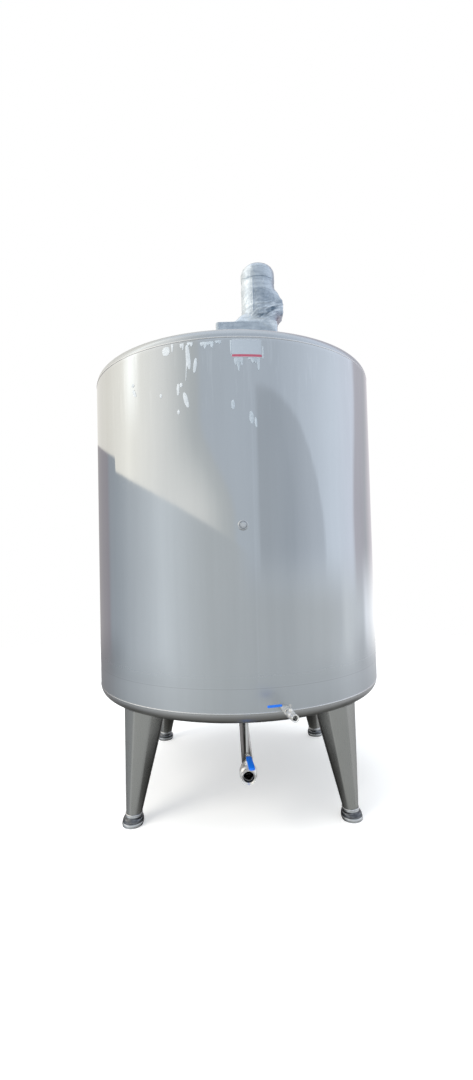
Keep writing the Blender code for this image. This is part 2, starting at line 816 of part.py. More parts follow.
def make_sensor_socket(tank, outside):
    """A round socket welded on the shell and the round plug in its mouth."""
    sensor = frame("sensor_line", tank, (0, 0, SENSOR_HEIGHT), SENSOR_TURN)
    face = SHELL_RADIUS + SENSOR_REACH
    low = SHELL_RADIUS - SHEET
    seat = face - SENSOR_SEAT
    ring = [
        (0, seat),
        (SENSOR_MOUTH, seat),
        (SENSOR_MOUTH, face),
        (SENSOR_RADIUS - SENSOR_CHAMFER, face),
        (SENSOR_RADIUS, face - SENSOR_CHAMFER),
        (SENSOR_RADIUS, low),
        (0, low),
    ]
    place = {"steps": FITTING_STEPS, "rotation": LYING}
    socket = turned("sensor_socket", ring, "cast_steel", sensor, **place)
    combine(socket, outside)
    shank = SENSOR_MOUTH - GAP
    head = SENSOR_MOUTH - SENSOR_CHAMFER
    crown = face + PLUG_HEAD
    plug = [
        (0, crown),
        (head - PLUG_STEP, crown),
        (head, crown - PLUG_STEP),
        (head, face + PLUG_STEP),
        (shank, face + PLUG_STEP),
        (shank, seat + GAP),
        (0, seat + GAP),
    ]
    turned("sensor_plug", plug, "cast_steel", sensor, **place)


def make_plate(tank):
    """A thin bare plate stuck to the shell under the top seam."""
    width, height = PLATE_SIZE
    inside = SHELL_RADIUS + 2 * GAP
    sweep = width / SHELL_RADIUS
    edge = [(inside + PLATE_THICK, height / 2), (inside + PLATE_THICK, -height / 2)]
    plate = turned(
        "label_plate",
        edge,
        "plate_white",
        tank,
        steps=PLATE_STEPS,
        angle=sweep,
        location=(0, 0, PLATE_HEIGHT),
        rotation=(0, 0, PLATE_TURN - QUARTER - sweep / 2),
    )
    thicken(plate, PLATE_THICK)


def weld(mesh):
    """Joins the points that a cut leaves closer together than WELD."""
    shape = bmesh.new()
    shape.from_mesh(mesh)
    bmesh.ops.remove_doubles(shape, verts=shape.verts, dist=WELD)
    bmesh.ops.dissolve_degenerate(shape, edges=shape.edges, dist=WELD)
    shape.to_mesh(mesh)
    shape.free()


def bake_meshes():
    """Turns every piece into its finished mesh, smooth but for its sharp edges."""
    bpy.context.view_layer.update()
    graph = bpy.context.evaluated_depsgraph_get()
    solids = [obj for obj in PARTS.objects if obj.type in ("MESH", "CURVE")]
    meshes = [bpy.data.meshes.new_from_object(obj.evaluated_get(graph)) for obj in solids]
    for obj, mesh in zip(solids, meshes):
        weld(mesh)
        mesh.shade_smooth()
        mesh.set_sharp_from_angle(angle=SHARP_ANGLE)
        if obj.type == "MESH":
            obj.modifiers.clear()
            obj.data = mesh
        else:
            name, parent, world = obj.name, obj.parent, obj.matrix_world.copy()
            bpy.data.objects.remove(obj, do_unlink=True)
            solid = bpy.data.objects.new(name, mesh)
            PARTS.objects.link(solid)
            solid.parent = parent
            solid.matrix_world = world


def main():
    """Builds the tank from the vessel outwards."""
    tank = frame("tank_axis", None, (0, AXIS_BACK, 0))
    outside = make_heads(tank)
    make_shell(tank)
    make_legs(tank, outside)
    make_pedestal(tank)
    make_gear_housing(tank)
    make_motor(tank)
    make_film(tank)
    make_drain(tank)
    make_sample_valve(tank, outside)
    make_sensor_socket(tank, outside)
    make_plate(tank)
    bake_meshes()


main()
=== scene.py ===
"""Looks of the liquid mixing tank: its finishes, welds, fittings and the film round its drive.

Every size is in metres. Front is -Y, right is +X, and turns round the tank are measured from
the front towards the right.
"""

import json
import math

import bmesh
import bpy
import numpy as np
from mathutils import Matrix, Vector, noise


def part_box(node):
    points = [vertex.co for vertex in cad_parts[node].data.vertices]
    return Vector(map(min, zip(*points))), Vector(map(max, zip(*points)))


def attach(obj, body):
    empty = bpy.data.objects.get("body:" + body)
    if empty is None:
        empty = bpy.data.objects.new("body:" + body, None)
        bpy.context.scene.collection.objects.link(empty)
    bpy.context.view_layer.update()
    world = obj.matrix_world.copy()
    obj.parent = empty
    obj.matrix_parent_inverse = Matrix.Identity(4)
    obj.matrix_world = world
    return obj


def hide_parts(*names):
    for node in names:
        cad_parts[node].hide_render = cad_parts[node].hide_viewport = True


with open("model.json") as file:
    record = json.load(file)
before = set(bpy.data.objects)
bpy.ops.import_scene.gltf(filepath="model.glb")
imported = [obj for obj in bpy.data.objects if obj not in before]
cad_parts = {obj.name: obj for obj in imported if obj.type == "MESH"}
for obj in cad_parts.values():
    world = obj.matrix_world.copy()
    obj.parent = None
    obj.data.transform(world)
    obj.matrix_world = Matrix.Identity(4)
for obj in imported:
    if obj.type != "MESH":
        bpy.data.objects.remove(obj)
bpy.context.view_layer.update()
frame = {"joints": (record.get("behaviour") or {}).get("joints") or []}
FINISHES = {}
JOINTS = {joint["name"]: joint for joint in frame["joints"]}
UP = Vector((0, 0, 1))


def middle(node):
    """The middle of a solid's box."""
    low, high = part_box(node)
    return (low + high) / 2


# Vessel
HEAD_LOW, HEAD_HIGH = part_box("top_head")
AXIS = Vector(((HEAD_LOW.x + HEAD_HIGH.x) / 2, (HEAD_LOW.y + HEAD_HIGH.y) / 2, 0))
SHELL_RADIUS = (HEAD_HIGH.x - HEAD_LOW.x) / 2
SHELL_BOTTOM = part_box("shell_front")[0].z
SHELL_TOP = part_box("shell_front")[1].z
SHEET = 0.003
KNUCKLE = 0.060
CONE_SLOPE = math.radians(10)
EASE_STEPS = 3
KNUCKLE_STEPS = 20
CONE_STEPS = 12
ROUND_STEPS = 256
WALL_ROWS = 100
STRAKE_SEAM = 0.795
LONG_SEAM_TURN = math.radians(6.2)
BEAD_WIDTH = 0.0070
BEAD_HEIGHT = 0.0013

# Legs and feet
LEG_REACH = 0.850
LEG_FOOT_FLATS = 0.084
LEG_TOP_FLATS = 0.240
LEG_TOP = 0.660
LEG_LEAN = 0.109 / LEG_TOP
LEG_FOLD = 0.010
LEG_ROWS = 24
FOOT_HEIGHT = 0.058
FOOT_RADIUS = 0.0585
FOOT_NECK = 0.0455
CORNERS = {
    "front_left": Vector((-1, -1, 0)).normalized(),
    "front_right": Vector((1, -1, 0)).normalized(),
    "back_right": Vector((1, 1, 0)).normalized(),
    "back_left": Vector((-1, 1, 0)).normalized(),
}

# Plate
PLATE_COLUMNS = 24

# Drain and sample lines
PIPE_RADIUS = 0.03015
PIPE_WALL = 0.002
BEND_RADIUS = 0.076
PIPE_STEPS = 48
VALVE_STEPS = 96
GRIP_STEPS = 40
HAIR = 0.0003
ROD_RADIUS = 0.0075

# Drive
MOTOR = middle("motor_body")
MOTOR_RADIUS = 0.1130
CASE_LOW, CASE_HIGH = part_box("gear_housing")
CASE_CORNER = 0.023
CASE_SPLIT = 0.052
BOX_CORNER = 0.016
FINS = 48
FIN_STEPS = 9
FIN_GAP = (3, 4, 5)
FIN_TIP = 0.109
FIN_DEPTH = 0.007
COWL_DOME = 0.075
FILM_THICK = 0.0004
FILM_OFF = 0.0032
CREASE_LEVEL = 3.343
FILM_COLUMNS = 320
FILM_ROWS = 190

# Camera, fitted to the photograph's outline
CAMERA_PLACE = Vector((0, AXIS.y - 3.2174, 1.4491))
CAMERA_PITCH = math.radians(1.9703)
CAMERA_ROLL = math.radians(-1.4576)
CAMERA_YAW = math.radians(-0.1144)
CAMERA_LENS_PIXELS = 468.08
FRAME_HEIGHT_PIXELS = 1080
SENSOR = 36


class Wire:
    """A node's output. Arithmetic on it adds Math nodes to the same material."""

    def __init__(self, finish, socket):
        self.finish = finish
        self.socket = socket

    def math(self, operation, *values):
        return self.finish.node("ShaderNodeMath", {"operation": operation}, dict(enumerate(values)))

    def __add__(self, other):
        return self.math("ADD", self, other)

    __radd__ = __add__

    def __sub__(self, other):
        return self.math("SUBTRACT", self, other)

    def __rsub__(self, other):
        return self.math("SUBTRACT", other, self)

    def __mul__(self, other):
        return self.math("MULTIPLY", self, other)

    __rmul__ = __mul__

    def __truediv__(self, other):
        return self.math("DIVIDE", self, other)

    def __pow__(self, other):
        return self.math("POWER", self, other)

    def __abs__(self):
        return self.math("ABSOLUTE", self)

    def sine(self):
        return self.math("SINE", self)

    def limit(self):
        return self.finish.node("ShaderNodeClamp", {}, {0: self})

    def ramp(self, low, high, start=0.0, end=1.0):
        """Goes smoothly from start at low to end at high."""
        settings = {"interpolation_type": "SMOOTHSTEP"}
        values = {0: self, 1: low, 2: high, 3: start, 4: end}
        return self.finish.node("ShaderNodeMapRange", settings, values)

    def near(self, place, reach):
        """1 at a place, falling to 0 at reach on both sides of it."""
        return abs(self - place).ramp(0.0, reach, 1.0, 0.0)


class Nodes:
    """A node tree that is written as expressions."""

    def __init__(self, tree):
        self.tree = tree

    def node(self, kind, settings, values, output=0):
        """A node of any type: settings first, then the values or links of its sockets."""
        made = self.tree.nodes.new(kind)
        for name, value in settings.items():
            if name == "stops":
                set_stops(made.color_ramp, value)
            else:
                setattr(made, name, value)
        for socket, value in values.items():
            self.plug(made.inputs[socket], value)
        return Wire(self, made.outputs[output]) if made.outputs else made

    def plug(self, socket, value):
        """Sets or links one socket."""
        if isinstance(value, Wire):
            self.tree.links.new(value.socket, socket)
        elif isinstance(value, tuple) and len(value) == 3 and socket.type == "RGBA":
            socket.default_value = (*value, 1)
        else:
            socket.default_value = value

    def parts(self, vector):
        """The X, Y and Z of a vector."""
        split = self.node("ShaderNodeSeparateXYZ", {}, {0: vector})
        return [Wire(self, socket) for socket in split.socket.node.outputs]

    def stretch(self, vector, x, y, z):
        """A vector scaled along its own axes."""
        return self.node("ShaderNodeVectorMath", {"operation": "MULTIPLY"}, {0: vector, 1: (x, y, z)})

    def noise(self, vector, scale, detail=3.0, roughness=0.55):
        """Even noise from 0 to 1, mostly round 0.5."""
        values = {"Vector": vector, "Scale": scale, "Detail": detail, "Roughness": roughness}
        return self.node("ShaderNodeTexNoise", {}, values)

    def turn(self, x, y):
        """The turn round Z from the front towards the right, in radians."""
        return self.node("ShaderNodeMath", {"operation": "ARCTAN2"}, {0: x, 1: y * -1})

    def mix(self, factor, first, second):
        """A colour between two colours."""
        return self.node("ShaderNodeMix", {"data_type": "RGBA"}, {0: factor, 6: first, 7: second}, 2)


class Finish(Nodes):
    """One procedural material, built round its Principled shader."""

    def __init__(self, name, **plain):
        self.material = bpy.data.materials.new(name)
        self.material.use_nodes = True
        super().__init__(self.material.node_tree)
        self.shader = self.tree.nodes["Principled BSDF"]
        for socket, value in plain.items():
            self.shader.inputs[socket.replace("_", " ")].default_value = value

    def drive(self, socket, value):
        """Feeds what changes over the surface into the shader."""
        self.plug(self.shader.inputs[socket], value)

    def place(self):
        """The point on the piece, in the tank's own frame."""
        return self.node("ShaderNodeTexCoord", {}, {}, "Object")

    def coat(self, colour, roughness, height, depth, strength):
        """Feeds in colour and roughness, and a height from 0 to 1 as relief of a depth in metres."""
        self.drive("Base Color", colour)
        self.drive("Roughness", roughness.limit())
        values = {"Height": height, "Distance": depth, "Strength": strength}
        self.drive("Normal", self.node("ShaderNodeBump", {}, values))
        return self


def set_stops(ramp, stops):
    """A colour ramp's stops, as (place, colour) pairs."""
    while len(ramp.elements) > 1:
        ramp.elements.remove(ramp.elements[-1])
    for number, (place, colour) in enumerate(stops):
        element = ramp.elements[0] if number == 0 else ramp.elements.new(place)
        element.position = place
        element.color = (*colour, 1)


class Form:
    """The points and faces of one piece, gathered from one or more closed shapes."""

    def __init__(self):
        self.points = []
        self.faces = []

    def skin(self, rings, loop=False, place=None):
        """A skin through rings of equal point counts, joined end to end or capped."""
        start = len(self.points)
        count = len(rings[0])
        for ring in rings:
            self.points += [place @ Vector(point) if place else Vector(point) for point in ring]
        rows = len(rings) if loop else len(rings) - 1
        for row in range(rows):
            low = start + row * count
            high = start + (row + 1) % len(rings) * count
            for i in range(count):
                j = (i + 1) % count
                self.faces.append((low + i, low + j, high + j, high + i))
        if not loop:
            last = start + (len(rings) - 1) * count
            self.faces.append(tuple(range(start + count - 1, start - 1, -1)))
            self.faces.append(tuple(range(last, last + count)))
        return self

    def lathe(self, profile, ease=0.0, steps=PIPE_STEPS, loop=False, place=None):
        """A skin turned from a profile, its corners eased where that is asked for."""
        line = rounded(profile, ease) if ease else profile
        return self.skin(turned(line, steps), loop, place)

    def piece(self, name, finish, slot, replaces=(), body="vessel", crease=35):
        """The finished object: welded, facing out, smooth but for its sharp edges."""
        mesh = bpy.data.meshes.new(name)
        mesh.from_pydata(self.points, [], self.faces)
        shape = bmesh.new()
        shape.from_mesh(mesh)
        bmesh.ops.remove_doubles(shape, verts=shape.verts, dist=1e-6)
        bmesh.ops.dissolve_degenerate(shape, edges=shape.edges, dist=1e-7)
        bmesh.ops.recalc_face_normals(shape, faces=shape.faces)
        shape.to_mesh(mesh)
        shape.free()
        mesh.shade_smooth()
        mesh.set_sharp_from_angle(angle=math.radians(crease))
        mesh.materials.append(FINISHES[finish].material)
        obj = in_scene(name, mesh)
        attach(obj, body)
        if replaces:
            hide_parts(*replaces)
        return obj


def rounded(corners, radius, closed=False):
    """A line of 2D corners with each corner eased by a short curve."""
    count = len(corners)
    line = []
    for number, corner in enumerate(corners):
        if not closed and number in (0, count - 1):
            line.append(tuple(corner))
            continue
        here = Vector(corner)
        before = Vector(corners[number - 1]) - here
        after = Vector(corners[(number + 1) % count]) - here
        reach = min(radius, before.length * 0.45, after.length * 0.45)
        enter = here + before.normalized() * reach
        leave = here + after.normalized() * reach
        for step in range(EASE_STEPS + 1):
            share = step / EASE_STEPS
            point = enter * (1 - share) ** 2 + here * 2 * share * (1 - share) + leave * share ** 2
            line.append(tuple(point))
    return line


def turned(profile, steps, flats=None):
    """Rings of (radius, height) points round Z, cut to flats = (sides, distance to a flat)."""
    rings = []
    for radius, height in profile:
        ring = []
        for step in range(steps):
            angle = math.tau * step / steps
            reach = radius
            if flats:
                sides, apothem = flats
                off = (angle + math.pi / sides) % (math.tau / sides) - math.pi / sides
                reach = min(radius, apothem / math.cos(off))
            ring.append((reach * math.cos(angle), reach * math.sin(angle), height))
        rings.append(ring)
    return rings


def in_scene(name, data):
    """A new object in the scene."""
    obj = bpy.data.objects.new(name, data)
    bpy.context.scene.collection.objects.link(obj)
    return obj


def swept(line, outline):
    """Rings of a 2D outline carried along a line of points."""
    rings = []
    side = None
    for number, point in enumerate(line):
        ahead = line[min(number + 1, len(line) - 1)]
        behind = line[max(number - 1, 0)]
        along = (ahead - behind).normalized()
        lift = side or along.orthogonal()
        side = (lift - along * lift.dot(along)).normalized()
        cross = along.cross(side)
        rings.append([point + side * b + cross * a for a, b in outline])
    return rings


def disc(radius):
    """The outline of a tube."""
    ways = [math.tau * step / PIPE_STEPS for step in range(PIPE_STEPS)]
    return [(radius * math.cos(way), radius * math.sin(way)) for way in ways]


def bead(form, line, outward, width=BEAD_WIDTH, height=BEAD_HEIGHT):
    """A weld bead: a low rounded ridge along a closed line on a surface, its foot sunk into it."""
    rings = []
    for number, point in enumerate(line):
        ahead = line[(number + 1) % len(line)]
        up = Vector(outward[number])
        across = (ahead - line[number - 1]).cross(up).normalized()
        swell = 1 + 0.15 * noise.noise(point * 60)
        ring = []
        for step in range(7):
            angle = math.pi * step / 6
            rise = height * swell * math.sin(angle) - height * 0.2
            ring.append(point - across * width / 2 * math.cos(angle) + up * rise)
        rings.append(ring)
    return form.skin(rings, loop=True)


def turn_way(turn):
    """The level direction away from the tank's axis at a turn from the front."""
    return Vector((math.sin(turn), -math.cos(turn), 0))


def level(height):
    """A point on the tank's axis."""
    return AXIS + Vector((0, 0, height))


def on_wall(turn, height, off=0.0):
    """A point on the round wall."""
    return AXIS + turn_way(turn) * (SHELL_RADIUS + off) + Vector((0, 0, height))


def standing(origin, forward):
    """A frame whose Z runs forward and whose Y is up, for turned pieces that lie level."""
    forward = Vector(forward).normalized()
    turn = Matrix((UP.cross(forward), UP, forward)).transposed().to_4x4()
    return Matrix.Translation(origin) @ turn


def head_rise(radius):
    """How far a cone end's surface stands past its seam at a distance from the axis."""
    centre = SHELL_RADIUS - KNUCKLE
    edge = centre + KNUCKLE * math.sin(CONE_SLOPE)
    if radius <= edge:
        return KNUCKLE * math.cos(CONE_SLOPE) + (edge - radius) * math.tan(CONE_SLOPE)
    return math.sqrt(max(0.0, KNUCKLE ** 2 - (radius - centre) ** 2))


def head_line(inset):
    """(radius, rise) points of a cone end from its seam to its middle."""
    bend = KNUCKLE - inset
    centre = SHELL_RADIUS - KNUCKLE
    line = []
    for step in range(KNUCKLE_STEPS + 1):
        angle = (math.pi / 2 - CONE_SLOPE) * step / KNUCKLE_STEPS
        line.append((centre + bend * math.cos(angle), bend * math.sin(angle)))
    edge_radius, edge_rise = line[-1]
    for step in range(1, CONE_STEPS + 1):
        radius = edge_radius * (1 - step / CONE_STEPS)
        line.append((radius, edge_rise + (edge_radius - radius) * math.tan(CONE_SLOPE)))
    return line


def wall_wave(turn, height):
    """The slight waviness of rolled and welded sheet, in metres."""
    drift = noise.noise(Vector((math.sin(turn) * 2.2, math.cos(turn) * 2.2, height * 0.9)))
    streak = noise.noise(Vector((math.sin(turn) * 9, math.cos(turn) * 9, height * 0.35)))
    pull = 0.0
    for seam in (SHELL_BOTTOM, STRAKE_SEAM, SHELL_TOP):
        pull += math.exp(-(((height - seam) / 0.020) ** 2))
    return 0.0009 * drift + 0.00022 * streak - 0.0006 * pull


def make_shell():
    """The rolled wall, with its slight waves and pulled-in seams."""
    rings = []
    for row in range(WALL_ROWS + 1):
        height = SHELL_BOTTOM + (SHELL_TOP - SHELL_BOTTOM) * row / WALL_ROWS
        rings.append(wall_ring(height, 0.0))
    rings.append(wall_ring(SHELL_TOP, -SHEET))
    rings.append(wall_ring(SHELL_BOTTOM, -SHEET))
    sides = ("front", "front_right", "back_right", "back", "back_left", "front_left")
    nodes = [f"shell_{side}" for side in sides]
    Form().skin(rings, loop=True).piece("rolled_shell", "shell", "shell_steel", nodes)


def wall_ring(height, off):
    """One level ring of the wall."""
    return [
        on_wall(math.tau * i / ROUND_STEPS, height, off + wall_wave(math.tau * i / ROUND_STEPS, height))
        for i in range(ROUND_STEPS)
    ]


def make_heads():
    """The two pressed cone ends, the lower one open over the nozzle."""
    place = Matrix.Translation(AXIS)
    top = [(r, SHELL_TOP + rise) for r, rise in head_line(0)[::-1] + head_line(SHEET)]
    form = Form().lathe(top, steps=ROUND_STEPS, loop=True, place=place)
    form.piece("top_cone_end", "head", "shell_steel", ["top_head"])
    bottom = [(r, SHELL_BOTTOM - rise) for r, rise in head_line(0) + head_line(SHEET)[::-1]]
    form = Form().lathe(bottom, steps=ROUND_STEPS, loop=True, place=place)
    cone = form.piece("bottom_cone_end", "under", "shell_steel", ["bottom_head"])
    nozzle = Matrix.Translation(middle("drain_nozzle"))
    cut(cone, Form().lathe([(PIPE_RADIUS, -1), (PIPE_RADIUS, 1)], place=nozzle))


def cut(obj, hole):
    """Cuts a closed form out of a piece."""
    mesh = bpy.data.meshes.new("hole")
    mesh.from_pydata(hole.points, [], hole.faces)
    cutter = in_scene("hole", mesh)
    modifier = obj.modifiers.new("hole", "BOOLEAN")
    modifier.object = cutter
    graph = bpy.context.evaluated_depsgraph_get()
    done = bpy.data.meshes.new_from_object(obj.evaluated_get(graph))
    obj.modifiers.clear()
    obj.data = done
    bpy.data.objects.remove(cutter)


def make_seams():
    """Weld beads round the wall's upper and lower seams."""
    form = Form()
    turns = [math.tau * i / (3 * ROUND_STEPS) for i in range(3 * ROUND_STEPS)]
    ways = [turn_way(turn) for turn in turns]
    for height in (SHELL_TOP, SHELL_BOTTOM):
        bead(form, [on_wall(turn, height) for turn in turns], ways)
    form.piece("seam_welds", "ground", "shell_steel")


def leg_middle(out, height):
    """The middle of a leg at one level, out being its direction from the axis."""
    return level(height) + out * (LEG_REACH - LEG_LEAN * height)


def leg_line(out, apothem, height):
    """The folded outline of a leg at one level."""
    reach = apothem / math.cos(math.pi / 8)
    angles = [math.tau * (side + 0.5) / 8 for side in range(8)]
    corners = [(reach * math.cos(angle), reach * math.sin(angle)) for angle in angles]
    side_way = Vector((-out.y, out.x, 0))
    centre = leg_middle(out, height)
    return [centre + out * x + side_way * y for x, y in rounded(corners, LEG_FOLD, closed=True)]


def meet_bottom(low, high):
    """Where a straight line from low to high meets the bottom end's outside."""
    near, far = 0.0, 1.25
    for _ in range(40):
        share = (near + far) / 2
        point = low.lerp(high, share)
        radius = math.hypot(point.x - AXIS.x, point.y - AXIS.y)
        inside = radius < SHELL_RADIUS and point.z > SHELL_BOTTOM - head_rise(radius)
        near, far = (near, share) if inside else (share, far)
    return low.lerp(high, near)


def make_leg(name, out, welds):
    """A folded sheet leg up to the bottom end, its welds and its bell foot."""
    walls = []
    for inset in (0.0, SHEET):
        low = leg_line(out, LEG_FOOT_FLATS / 2 - inset, FOOT_HEIGHT + 0.001)
        high = leg_line(out, LEG_TOP_FLATS / 2 - inset, LEG_TOP)
        top = [meet_bottom(a, b) for a, b in zip(low, high)]
        shares = [row / LEG_ROWS for row in range(LEG_ROWS + 1)]
        walls.append([[a.lerp(b, share) for a, b in zip(low, top)] for share in shares])
    outside, inside = walls
    form = Form().skin(outside + inside[::-1], loop=True)
    form.piece(f"folded_leg_{name}", "leg", "leg_steel", [f"leg_{name}"], crease=60)
    edge = outside[-1]
    centre = sum(edge, Vector()) / len(edge)
    down = Vector((0, 0, -0.6))
    outward = [((point - centre).normalized() * 0.8 + down).normalized() for point in edge]
    bead(welds, edge, outward, width=0.010, height=0.0035)
    ring_bead(welds, leg_middle(out, FOOT_HEIGHT), UP, FOOT_NECK - 0.001, 0.009, 0.0035)
    make_foot(name, out)


def make_foot(name, out):
    """A polished bell foot that leans with its leg."""
    shoulder = FOOT_HEIGHT - 0.012
    profile = [(0, FOOT_HEIGHT + 0.012), (0.037, FOOT_HEIGHT + 0.012), (0.037, FOOT_HEIGHT)]
    profile += [(FOOT_NECK - 0.001, FOOT_HEIGHT), (FOOT_NECK, FOOT_HEIGHT - 0.002), (FOOT_NECK, shoulder)]
    for step in range(1, 9):
        angle = math.pi / 2 * step / 8
        flare = FOOT_NECK + (FOOT_RADIUS - 0.001 - FOOT_NECK) * math.sin(angle)
        profile.append((flare, shoulder - 0.026 * (1 - math.cos(angle))))
    sole = FOOT_RADIUS - 0.0025
    profile += [(FOOT_RADIUS, 0.0185), (FOOT_RADIUS, 0.009), (sole, 0.0065), (sole, 0.0), (0, 0.0)]
    lean = Matrix.Translation(AXIS + out * LEG_REACH)
    lean[0][2] = -out.x * LEG_LEAN
    lean[1][2] = -out.y * LEG_LEAN
    form = Form().lathe(profile, 0.0018, 96, place=lean)
    form.piece(f"bell_foot_{name}", "foot", "polished_steel", [f"foot_{name}"])


def make_legs():
    """Four legs with their feet and the welds that hold them to the bottom end."""
    welds = Form()
    for name, out in CORNERS.items():
        make_leg(name, out, welds)
    welds.piece("leg_welds", "weld", "leg_steel")


def ring_bead(form, centre, axis, radius, width=0.006, height=0.0015, steps=96):
    """A weld bead round a pipe."""
    axis = Vector(axis).normalized()
    side = axis.orthogonal().normalized()
    cross = axis.cross(side)
    outward = [
        side * math.cos(math.tau * i / steps) + cross * math.sin(math.tau * i / steps)
        for i in range(steps)
    ]
    line = [Vector(centre) + way * radius for way in outward]
    return bead(form, line, outward, width, height)


def drain_frame():
    """Start of the drain line under the nozzle and its level direction to the valve."""
    nozzle = middle("drain_nozzle")
    ball = Vector(JOINTS["drain_valve"]["pos_m"])
    start = Vector((nozzle.x, nozzle.y, ball.z))
    return start, (ball - start).normalized()


def make_drain():
    """Nozzle, elbow and pipe as one polished run, its welds and its hanger."""
    start, forward = drain_frame()
    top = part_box("drain_nozzle")[1].z
    line = [start + UP * (top - start.z), start + UP * (BEND_RADIUS + 0.012)]
    for step in range(25):
        angle = math.pi / 2 * step / 24
        along = forward * BEND_RADIUS * (1 - math.cos(angle))
        line.append(start + along + UP * BEND_RADIUS * (1 - math.sin(angle)))
    reach = (start - Vector(JOINTS["drain_valve"]["pos_m"])).length - VALVES["drain"]["stem"]
    for share in (0.25, 0.5, 0.75, 1.0):
        line.append(start + forward * (BEND_RADIUS + (reach - BEND_RADIUS) * share))
    inside = swept(line, disc(PIPE_RADIUS - PIPE_WALL))
    form = Form().skin(swept(line, disc(PIPE_RADIUS)) + inside[::-1], loop=True)
    nodes = ["drain_nozzle", "drain_elbow", "drain_pipe"]
    form.piece("drain_run", "pipe", "polished_steel", nodes)
    weld_drain(start, forward, reach)
    make_hanger()


def weld_drain(start, forward, reach):
    """The weld beads along the drain line, from the bottom end to the valve."""
    under = SHELL_BOTTOM - head_rise(abs(start.x - AXIS.x))
    nozzle_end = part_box("drain_nozzle")[0].z
    welds = ring_bead(Form(), start + UP * (under - start.z), UP, PIPE_RADIUS, 0.012, 0.004)
    ring_bead(welds, start + UP * (nozzle_end - start.z), UP, PIPE_RADIUS)
    ring_bead(welds, start + forward * (BEND_RADIUS + 0.010), forward, PIPE_RADIUS)
    ring_bead(welds, start + forward * reach, forward, PIPE_RADIUS + 0.001, 0.010, 0.004)
    welds.piece("drain_welds", "weld", "polished_steel")


def make_hanger():
    """The rod from the bottom end and the nut on the pipe."""
    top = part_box("hanger_rod")[1].z
    nut_low, nut_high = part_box("hanger_nut")
    rod = middle("hanger_rod")
    place = Matrix.Translation((rod.x, rod.y, 0))
    start = nut_high.z - 0.002
    thread = thread_line(ROD_RADIUS - 0.0009, ROD_RADIUS, start, 0.002, 6)
    form = Form().lathe([(0, start), *thread, (ROD_RADIUS, top), (0, top)], steps=32, place=place)
    form.piece("hanger_bar", "bar", "cast_steel", ["hanger_rod"])
    form = Form().skin(hex_nut(0.0100, nut_low.z, nut_high.z), place=place)
    form.piece("hanger_hex_nut", "nut", "cast_steel", ["hanger_nut"])


def thread_line(near, far, start, pitch, turns):
    """The section of a thread that swings from one radius to another and back on each turn."""
    line = []
    for number in range(turns):
        height = start + number * pitch
        line += [(near, height), (far, height + pitch / 2)]
    return line


def hex_nut(apothem, low, high):
    """Rings of a six-sided nut with its corners chamfered top and bottom."""
    corner = apothem / math.cos(math.pi / 6)
    drop = (corner - apothem) * 0.55
    face = apothem * 0.99
    profile = [(0, low), (face, low), (corner, low + drop), (corner, high - drop), (face, high), (0, high)]
    return turned(profile, 72, flats=(6, apothem))


# Sizes of the drain valve and the sample valve. Lengths run forward from the back face, heights
# up from the bore, and a lip is its mouth's outer radius and its depth.
VALVE_SIZES = {
    "stem": (0.055, 0.061),
    "length": (0.120, 0.126),
    "bore": (0.025, 0.0095),
    "mouth": (0.0278, 0.0115),
    "lip": ((0.0345, 0.009), (0.0155, 0.004)),
    "mouth_depth": (0.034, 0.016),
    "back": (0.0385, 0.0188),
    "back_length": (0.024, 0.026),
    "waist": ((0.0345, 0.0345), (0.0125, 0.0150)),
    "body": (0.0448, 0.0200),
    "body_start": (0.034, 0.046),
    "body_end": (0.078, 0.079),
    "front": (0.0380, 0.0190),
    "front_start": (0.094, 0.095),
    "thread": (0.0023, 0.0018),
    "bonnet": (0.017, 0.009),
    "bonnet_top": (0.062, 0.028),
    "ball": (0.036, 0.0145),
    "stem_radius": (0.008, 0.004),
    "lever_height": (0.080, 0.040),
    "lever_rise": (0.009, 0.005),
    "lever_thick": (0.004, 0.003),
    "lever_width": (0.022, 0.012),
    "lever_start": (0.034, 0.041),
    "lever_length": (0.176, 0.112),
    "lever_turn": (math.radians(4.5), math.radians(-90)),
    "grip": ((0.030, 0.013), (0.015, 0.010)),
    "nut": (0.0105, 0.0062),
    "edge": (0.0025, 0.0015),
}
VALVES = {
    name: {size: values[column] for size, values in VALVE_SIZES.items()}
    for column, name in enumerate(("drain", "sample"))
}


def valve_seat(name):
    """The middle of a valve's back face, the level direction it points and its ball."""
    ball = Vector(JOINTS[f"{name}_valve"]["pos_m"])
    start = drain_frame()[0] if name == "drain" else level(ball.z)
    forward = (ball - start).normalized()
    return ball - forward * VALVES[name]["stem"], forward, ball


def valve_rings(valve):
    """The outside of a cast body from its back to its mouth, with flats on both its ends."""
    edge, back, front = valve["edge"], valve["back"], valve["front"]
    back_length, body, front_start = valve["back_length"], valve["body"], valve["front_start"]
    back_waist, front_waist = valve["waist"]
    end = valve["length"] - 3 * edge
    barrel = [(back_waist, back_length + edge), (back_waist, valve["body_start"] - 2 * edge)]
    barrel += [(body, valve["body_start"]), (body, valve["body_end"])]
    barrel += [(front_waist, front_start - 2 * edge), (front_waist, front_start - edge)]
    lip = [(front * 0.96, end + edge * 0.4), (front * 0.96, valve["length"])]
    rings = turned([(back, HAIR), (back, back_length)], VALVE_STEPS, flats=(8, back * 0.95))
    rings += turned(rounded(barrel, edge * 1.6), VALVE_STEPS)
    rings += turned([(front, front_start), (front, end)], VALVE_STEPS, flats=(8, front * 0.96))
    return rings + turned(lip, VALVE_STEPS)


